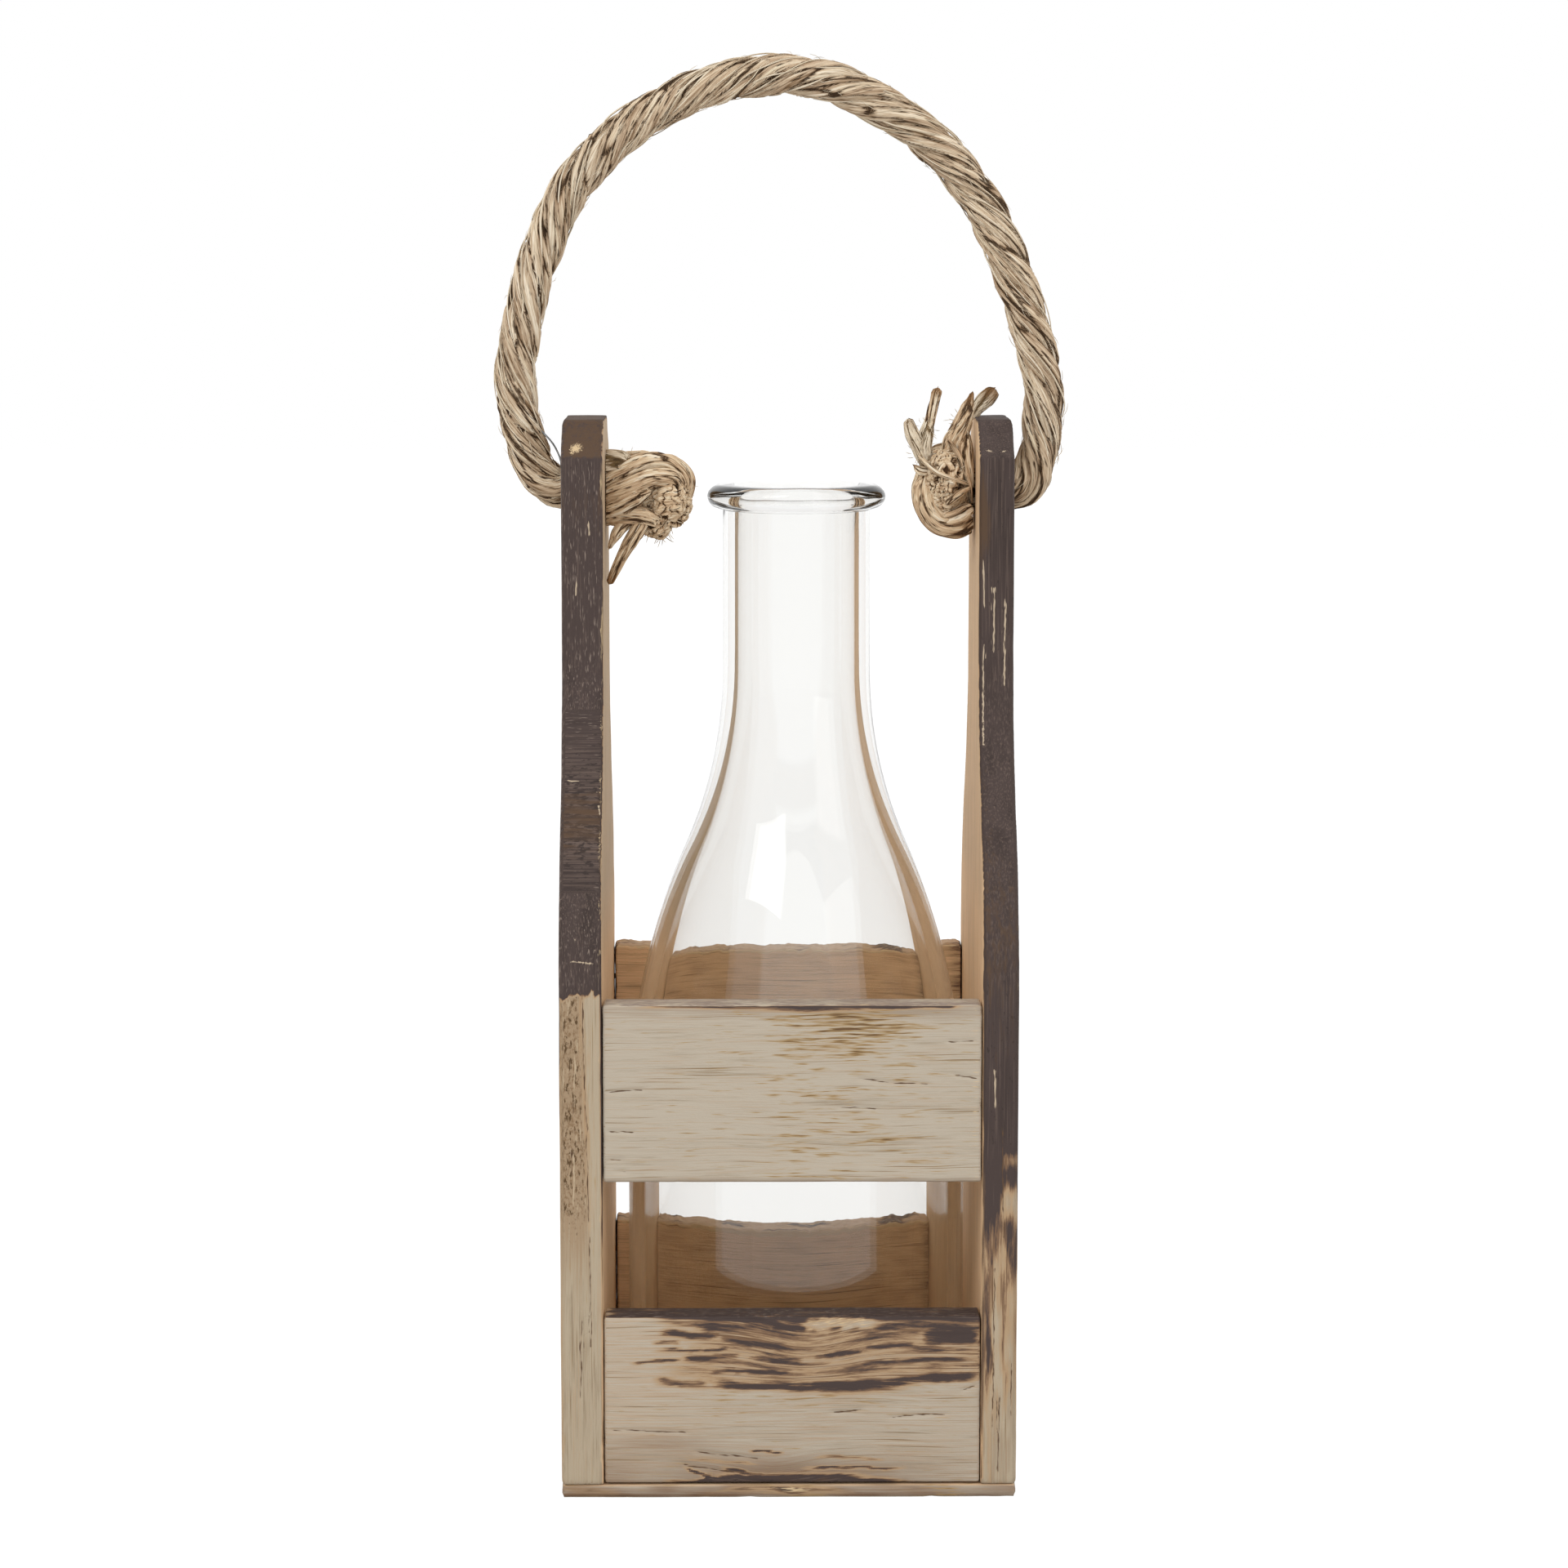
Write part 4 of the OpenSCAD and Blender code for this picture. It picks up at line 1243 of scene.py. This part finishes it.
# %% Marks on the left board
LEFT_SCRATCHES = ((-69.6, 219.5, -63, 219.2), (-61, 215.8, -57.4, 216.5), (-68, 167.5, -58, 166.8),
                  (-60.4, 171.5, -57.2, 170.3), (-66, 175, -63.5, 172.5), (-58.6, 214, -57.4, 208),
                  (-61.5, 300, -61.2, 292), (-65.2, 281, -65.5, 274))
LEFT_CRACKS = ((-61.0, 85, -62.9, 157), (-64, 30, -63.6, 58), (-60.6, 46, -61.1, 84),
               (-66.5, 100, -66.1, 112), (-67.6, 132, -67.2, 140), (-65.4, 118, -66, 126))


def left_marks(x, y, z, normal):
    wave = rough(x / 2.4, y / 9, z / 11, 3)
    outline = from_outline(y, z)
    if normal.x > SIDE:  # inner face
        char = 0.5 * ease(1.6, 0.4, outline + wave) + 0.9 * bell(y, -68.4, 1.2) * ease(60, 100, z)
        return {"brown": 0.04 + 0.10 * rough(0, y / 6, z / 40, 5), "raw": 0.8 * ease(190, 140, z) + 0.25,
                "char": char, "ochre": 0.12}
    if normal.x < -SIDE:  # outer face
        burnt = ease(13, 1, outline + 7 * rough(0, y / 9, z / 24, 6)) * ease(100, 165, z)
        return {"char": 0.8 * burnt + 0.4 * ease(4, 0.5, outline + 2 * wave), "ochre": 0.22,
                "brown": 0.10 + 0.2 * wave + 0.9 * knot_marks(y, z), "fleck": burnt,
                "face": 0.95 + 0.5 * rough(0, y / 30, z / 90, 7)}
    # Front edge: charred above, with bark outside a slanting seam below
    ragged = z + 3 * wave + 1.2 * rough(x / 0.9, y / 9, z / 5, 8)
    char = ease(156.5, 158.5, ragged)
    seam = -62.9 + (158 - z) * 1.9 / 73 + 0.4 * rough(0, 0, z / 7, 2)
    beside = ease(seam + 0.2, seam - 0.7, x) * ease(30, 100, z)
    bark = (1 - char) * max(beside, 0.12 * ease(60, 20, z)) * (0.6 + 0.4 * ease(45, 95, z))
    shade = (1 - char) * bell(x, seam, 1.1) * ease(60, 100, z)
    # A browner top with a bare patch, and a red-brown band
    top = ease(317, 319, z)
    bare = bell(x + 0.8 * wave, -65.4, 2.6) * bell(z + 1.2 * wave, 320.6, 1.9)
    red = bell(z, 208, 17) * char
    corner = ease(-58.4, -57.3, x + 0.6 * wave) * ease(0.0, 0.35, wave + 0.2)
    return {"char": char * (0.97 + 0.05 * wave) - 0.10 * top + 0.24 * red + 0.42 * shade
            + 0.3 * ease(-68.6, -69.8, x) * (1 - char),
            "brown": 0.85 * top + 1.0 * red + 0.75 * char * bell(z, 302, 24) + 0.03,
            "bark": bark, "fleck": char * (0.70 - 0.5 * top - 0.45 * red),
            "wear": 1.05 * bare + (0.75 - 0.45 * top) * corner,
            "scratch": nearest(x, z + 0.5 * wave, LEFT_SCRATCHES),
            "crack": nearest(x + 0.5 * rough(0, 0, z / 7, 2), z, LEFT_CRACKS)}


print("left board:", len(LEFT_SCRATCHES), "scratches and", len(LEFT_CRACKS), "cracks")

# %% Marks on the right board
RIGHT_SCRATCHES = ((60.4, 288, 60.8, 270), (63.9, 280, 63.7, 256), (67.3, 276, 67.0, 246),
                   (60.6, 262, 60.3, 228), (59.6, 320.5, 64.5, 319.4), (64.5, 319.4, 69, 320.2),
                   (62.4, 297.2, 64.5, 295.4), (64.5, 295.4, 67.4, 296.8), (62.6, 136, 63, 120))
RIGHT_CRACKS = ((65.8, 80, 65.0, 118), (60.2, 11.4, 62, 9.6), (62.6, 20, 63, 74),
                (68.2, 24, 68.4, 44), (64.2, 6, 64.8, 33))


def right_marks(x, y, z, normal):
    wave = rough(x / 2.4, y / 9, z / 13, 13)
    outline = from_outline(y, z)
    if normal.x < -SIDE:  # inner face
        # Paler limewash than on the left board's inner face: painted light that makes up for the weaker
        # light that falls on this face
        return {"brown": 0.06 + 0.2 * rough(0, y / 5, z / 40, 15), "raw": 1.3 * ease(190, 140, z) + 0.6,
                "char": 0.6 * ease(1.6, 0.4, outline + wave)}
    if normal.x > SIDE:  # outer face
        burnt = ease(15, 1, outline + 8 * rough(0, y / 9, z / 24, 16)) * ease(60, 120, z)
        return {"char": 0.8 * burnt + 0.4 * ease(4, 0.5, outline + 2 * wave), "ochre": 0.22,
                "brown": 0.12 + 0.2 * wave + 0.9 * knot_marks(-y, TURN_OVER - z),
                "fleck": 0.6 * burnt, "face": 0.95 + 0.5 * rough(0, y / 30, z / 90, 9)}
    # Front edge: darker with height, in streaks lower down, with two bright gaps at its outer side
    outer = ease(63.5, 67.5, x)
    char = 0.04 + 0.3 * ease(14, 46, z) + 0.24 * ease(46, 80, z) + 0.42 * ease(80, 118, z)
    char += (0.30 * wave + 0.22 * rough(x / 1.2, y / 9, z / 40, 19)) * ease(122, 92, z)
    char += 0.14 * ease(64, 61, x) * ease(90, 40, z) - 0.55 * outer * bell(z, 93, 5)
    char -= 0.4 * outer * bell(z, 106, 3)
    brown = 0.25 * ease(130, 60, z) * ease(0.1, 0.4, wave + 0.3)
    brown += 0.5 * ease(220, 150, z) * ease(110, 125, z)
    brown += 0.95 * bell(z, 300, 16) * ease(65, 61, x + 2 * wave)
    brown += 0.5 * bell(z, 270, 70) * ease(64, 61, x)
    brown += 0.6 * bell(z, 190, 42)
    chips = bell(z, 179, 4) + bell(z, 192, 3) + bell(z, 160, 2)
    return {"char": char, "brown": brown, "ochre": 0.3 * chips,
            "fleck": 0.30 * ease(120, 200, z) + 0.2 * wave,
            "wear": ease(68.9, 69.9, x) * ease(318, 300, z) * (0.35 + 0.5 * chips),
            "scratch": nearest(x, z, RIGHT_SCRATCHES),
            "crack": nearest(x + 0.4 * rough(0, 0, z / 9, 22), z, RIGHT_CRACKS)}


print("right board:", len(RIGHT_SCRATCHES), "scratches and", len(RIGHT_CRACKS), "cracks")

# %% Side boards
for node, grain_of, marks_of, side in (("left_side_board", left_board_grain, left_marks, -70),
                                       ("right_side_board", right_board_grain, right_marks, 70)):
    low, high = box_mm(node)
    board = side_board("worn_" + node, low[0], high[0], scorched)
    nails = [(side, y, z) for y in (-63.5, 63.5) for z in (16.5, 45, 111, 142)]
    work_wood(board, 1.1, board_edges(low[0], high[0]), grain_of, marks_of, nails)
    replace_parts(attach(board, "frame"), node)

# %% [markdown]
# ## The glass chimney
# The chimney is thick blown soda-lime glass: a wide body, a round shoulder, a narrow neck and
# a rolled lip. Its half section is drawn once and spun round its own axis. Soda-lime glass has
# an IOR of about 1.5 and a faint grey tint that shows where the light runs along the wall. Lamp
# rays and the soft light between matt surfaces pass straight through it, because the caustics
# that carry light through real glass would take far too long to render. Hand finishing leaves
# the lip a little uneven.

# %% Glass section
GLASS_X, SPIN_STEPS = 3, 144
SHOULDER, THROAT, WALL_TURN = (-167.75, 105), (162.3, 250), atan2(195 - 105, 35.05 + 167.75)
LIP_TURN = 2 * pi - 0.86 - pi / 2 - 0.43
# The section's moves: where to or round which centre (radius, height), the turn and the steps
SECTION = (
    # The foot's rim and the outside of the body, shoulder and neck
    ((52.55, 4), 0, 1), ((52.55, 5.2), pi / 2, 4), ((53.75, 8), 0, 2), ((53.75, 105), 0, 10),
    (SHOULDER, WALL_TURN, 24), (THROAT, -WALL_TURN, 24), ((23.3, 300), 0, 10),
    # The rolled lip
    ((23.3, 300.65), 0, 1), ((24.35, 304.25), LIP_TURN, 16), ((20.9, 308), 0, 1),
    ((20.9, 305.6), pi / 2, 6), ((18.5, 305), 0, 1),
    # The inside of the neck, shoulder and body, back to the rim
    ((18.5, 250), 0, 12), (THROAT, WALL_TURN, 24), (SHOULDER, -WALL_TURN, 24), ((48.95, 8), 0, 10),
    ((48.95, 5.2), 0, 1), ((50.15, 5.2), pi / 2, 4),
)


def draw_section(bm, start, moves):
    """Draws a half section: straight to a point (radius, height), or round a centre by a turn."""
    last = bmesh.ops.create_vert(bm, co=(start[0], 0, start[1]))["vert"][0]
    for (radius, height), turn, steps in moves:
        place = Vector((radius, 0, height))
        if turn:
            turned = bmesh.ops.spin(bm, geom=[last], cent=place, axis=(0, -1, 0), angle=turn, steps=steps)
            last = points_in(turned["geom_last"])[0]
        else:
            begin = last.co.copy()
            for k in range(steps):
                last = bmesh.ops.extrude_vert_indiv(bm, verts=[last])["verts"][0]
                last.co = begin.lerp(place, (k + 1) / steps)
    return last


bm = bmesh.new()
end = draw_section(bm, (50.15, 4), SECTION)
print("the section starts at r 50.15, z 4 and ends at", [round(c, 2) for c in end.co])

# %% Glass chimney
bmesh.ops.spin(bm, geom=bm.verts[:] + bm.edges[:], cent=(0, 0, 0), axis=(0, 0, 1), angle=2 * pi,
               steps=SPIN_STEPS, use_merge=True)
bmesh.ops.remove_doubles(bm, verts=bm.verts, dist=0.01)
for v in bm.verts:
    turn, lip = atan2(v.co.y, v.co.x), ease(296, 304, v.co.z)
    uneven = 0.05 * rough(1.6 * cos(turn), 1.6 * sin(turn), v.co.z / 40, 61)
    uneven += 0.32 * lip * rough(2.1 * cos(turn), 2.1 * sin(turn), v.co.z / 5, 62)
    v.co += Vector((cos(turn), sin(turn), 0.5 * lip)) * uneven
bmesh.ops.translate(bm, vec=(GLASS_X, 0, 0), verts=bm.verts)
bmesh.ops.recalc_face_normals(bm, faces=bm.faces)
clear_glass, tree = new_material("soda-lime glass")
clear = add(tree, "BsdfPrincipled", {"Base Color": linear("#F8F8F7"), "Roughness": 0.0, "IOR": 1.5,
                                     "Transmission Weight": 1.0})
straight = add(tree, "BsdfTransparent", {"Color": linear("#FCFCFB")})
path = add(tree, "LightPath")
lit = add(tree, "MixShader", (), {0: path.outputs["Is Diffuse Ray"], 1: clear.outputs[0],
                                  2: straight.outputs[0]})
both = add(tree, "MixShader", (), {0: path.outputs["Is Shadow Ray"], 1: lit.outputs[0],
                                   2: straight.outputs[0]})
tint = add(tree, "VolumeAbsorption", {"Color": linear("#DAD8D2"), "Density": 9.0})
add(tree, "OutputMaterial", (), {"Surface": both.outputs[0], "Volume": tint.outputs[0]})
chimney = to_object(bm, "blown_glass_chimney", clear_glass)
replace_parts(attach(chimney, "chimney"), "glass_chimney")

# %% [markdown]
# ## The nails
# The nails are the CAD ones. They are bare wire nails that have dulled and started to rust, so
# their heads get a dark steel with brown blooms a few tenths of a millimetre across.

# %% Nails
dull_steel, tree = new_material("dull nail steel")
place = add(tree, "TexCoord").outputs["Object"]
bloom = add(tree, "TexNoise", {"Scale": 1100, "Detail": 3}, {"Vector": place})
rust = add(tree, "ValToRGB", (), {0: bloom.outputs[0]},
           ((0.40, "#5C5A57"), (0.55, "#6B4E38"), (0.68, "#7E5534")))
metal = add(tree, "MapRange", {1: 0.42, 2: 0.58, 3: 0.9, 4: 0.1}, {0: bloom.outputs[0]})
bump = add(tree, "Bump", {"Strength": 0.4, "Distance": 0.0001}, {"Height": bloom.outputs[0]})
surface = add(tree, "BsdfPrincipled", {"Roughness": 0.55},
              {"Base Color": rust.outputs[0], "Metallic": metal.outputs[0], "Normal": bump.outputs[0]})
add(tree, "OutputMaterial", (), {"Surface": surface.outputs[0]})
for node in ("left_board_nails", "right_board_nails", "base_nails"):
    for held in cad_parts[node].material_slots:
        held.material = dull_steel
print("nails in", dull_steel.name)

# %% [markdown]
# ## Studio
# The lantern stands on a white table in a white room. For the camera, and for what glass and
# metal mirror, the room is plain white. As a light it is weaker, so that wood keeps its
# colour. One large soft box stands high at the front left and a weaker one at the right. The
# table is a floor that is white to the camera, less the soft shadow that falls on it.

# %% Floor and room


def seen_directly(tree):
    """1 where the camera, glass or a mirror looks, and 0 where the surface only lights others."""
    path = add(tree, "LightPath")
    seen = path.outputs["Is Camera Ray"]
    for ray in ("Is Transmission Ray", "Is Glossy Ray"):
        seen = add(tree, "Math", (), {0: seen, 1: path.outputs[ray]}, operation="MAXIMUM").outputs[0]
    return seen


floor_material, tree = new_material("white table")
white = add(tree, "Emission", {"Color": (1, 1, 1, 1), "Strength": 0.93})
matt = add(tree, "BsdfDiffuse", {"Color": linear("#C9C9C9")})
grey = add(tree, "BsdfDiffuse", {"Color": linear("#6E6E6E")})
shown = add(tree, "AddShader", (), {0: white.outputs[0], 1: grey.outputs[0]})
both = add(tree, "MixShader", (), {0: seen_directly(tree), 1: matt.outputs[0], 2: shown.outputs[0]})
add(tree, "OutputMaterial", (), {"Surface": both.outputs[0]})
bm = bmesh.new()
bmesh.ops.create_grid(bm, x_segments=1, y_segments=1, size=6000)
floor = to_object(bm, "floor", floor_material)

world = bpy.data.worlds.new("white room")
scene.world = world
world.use_nodes = True
tree = world.node_tree
tree.nodes.clear()
white = add(tree, "Background", {"Color": (1, 1, 1, 1), "Strength": 1.0})
soft = add(tree, "Background", {"Color": (1, 1, 1, 1), "Strength": 1.1})
both = add(tree, "MixShader", (), {0: seen_directly(tree), 1: soft.outputs[0], 2: white.outputs[0]})
add(tree, "OutputWorld", (), {"Surface": both.outputs[0]})

# %% Lights
LOOK_AT = Vector((0, 0, 0.2))
for name, place, width, height, power in (
        ("key light", (-1.1, -1.7, 1.9), 1.5, 1.1, 11),
        ("fill light", (1.5, -1.6, 0.8), 1.2, 1.2, 3)):
    lamp = bpy.data.lights.new(name, "AREA")
    lamp.shape, lamp.size, lamp.size_y, lamp.energy = "RECTANGLE", width, height, power
    light = bpy.data.objects.new(name, lamp)
    light.location = place
    light.rotation_euler = (LOOK_AT - Vector(place)).to_track_quat("-Z", "Y").to_euler()
    scene.collection.objects.link(light)
scene.view_settings.view_transform = "Standard"
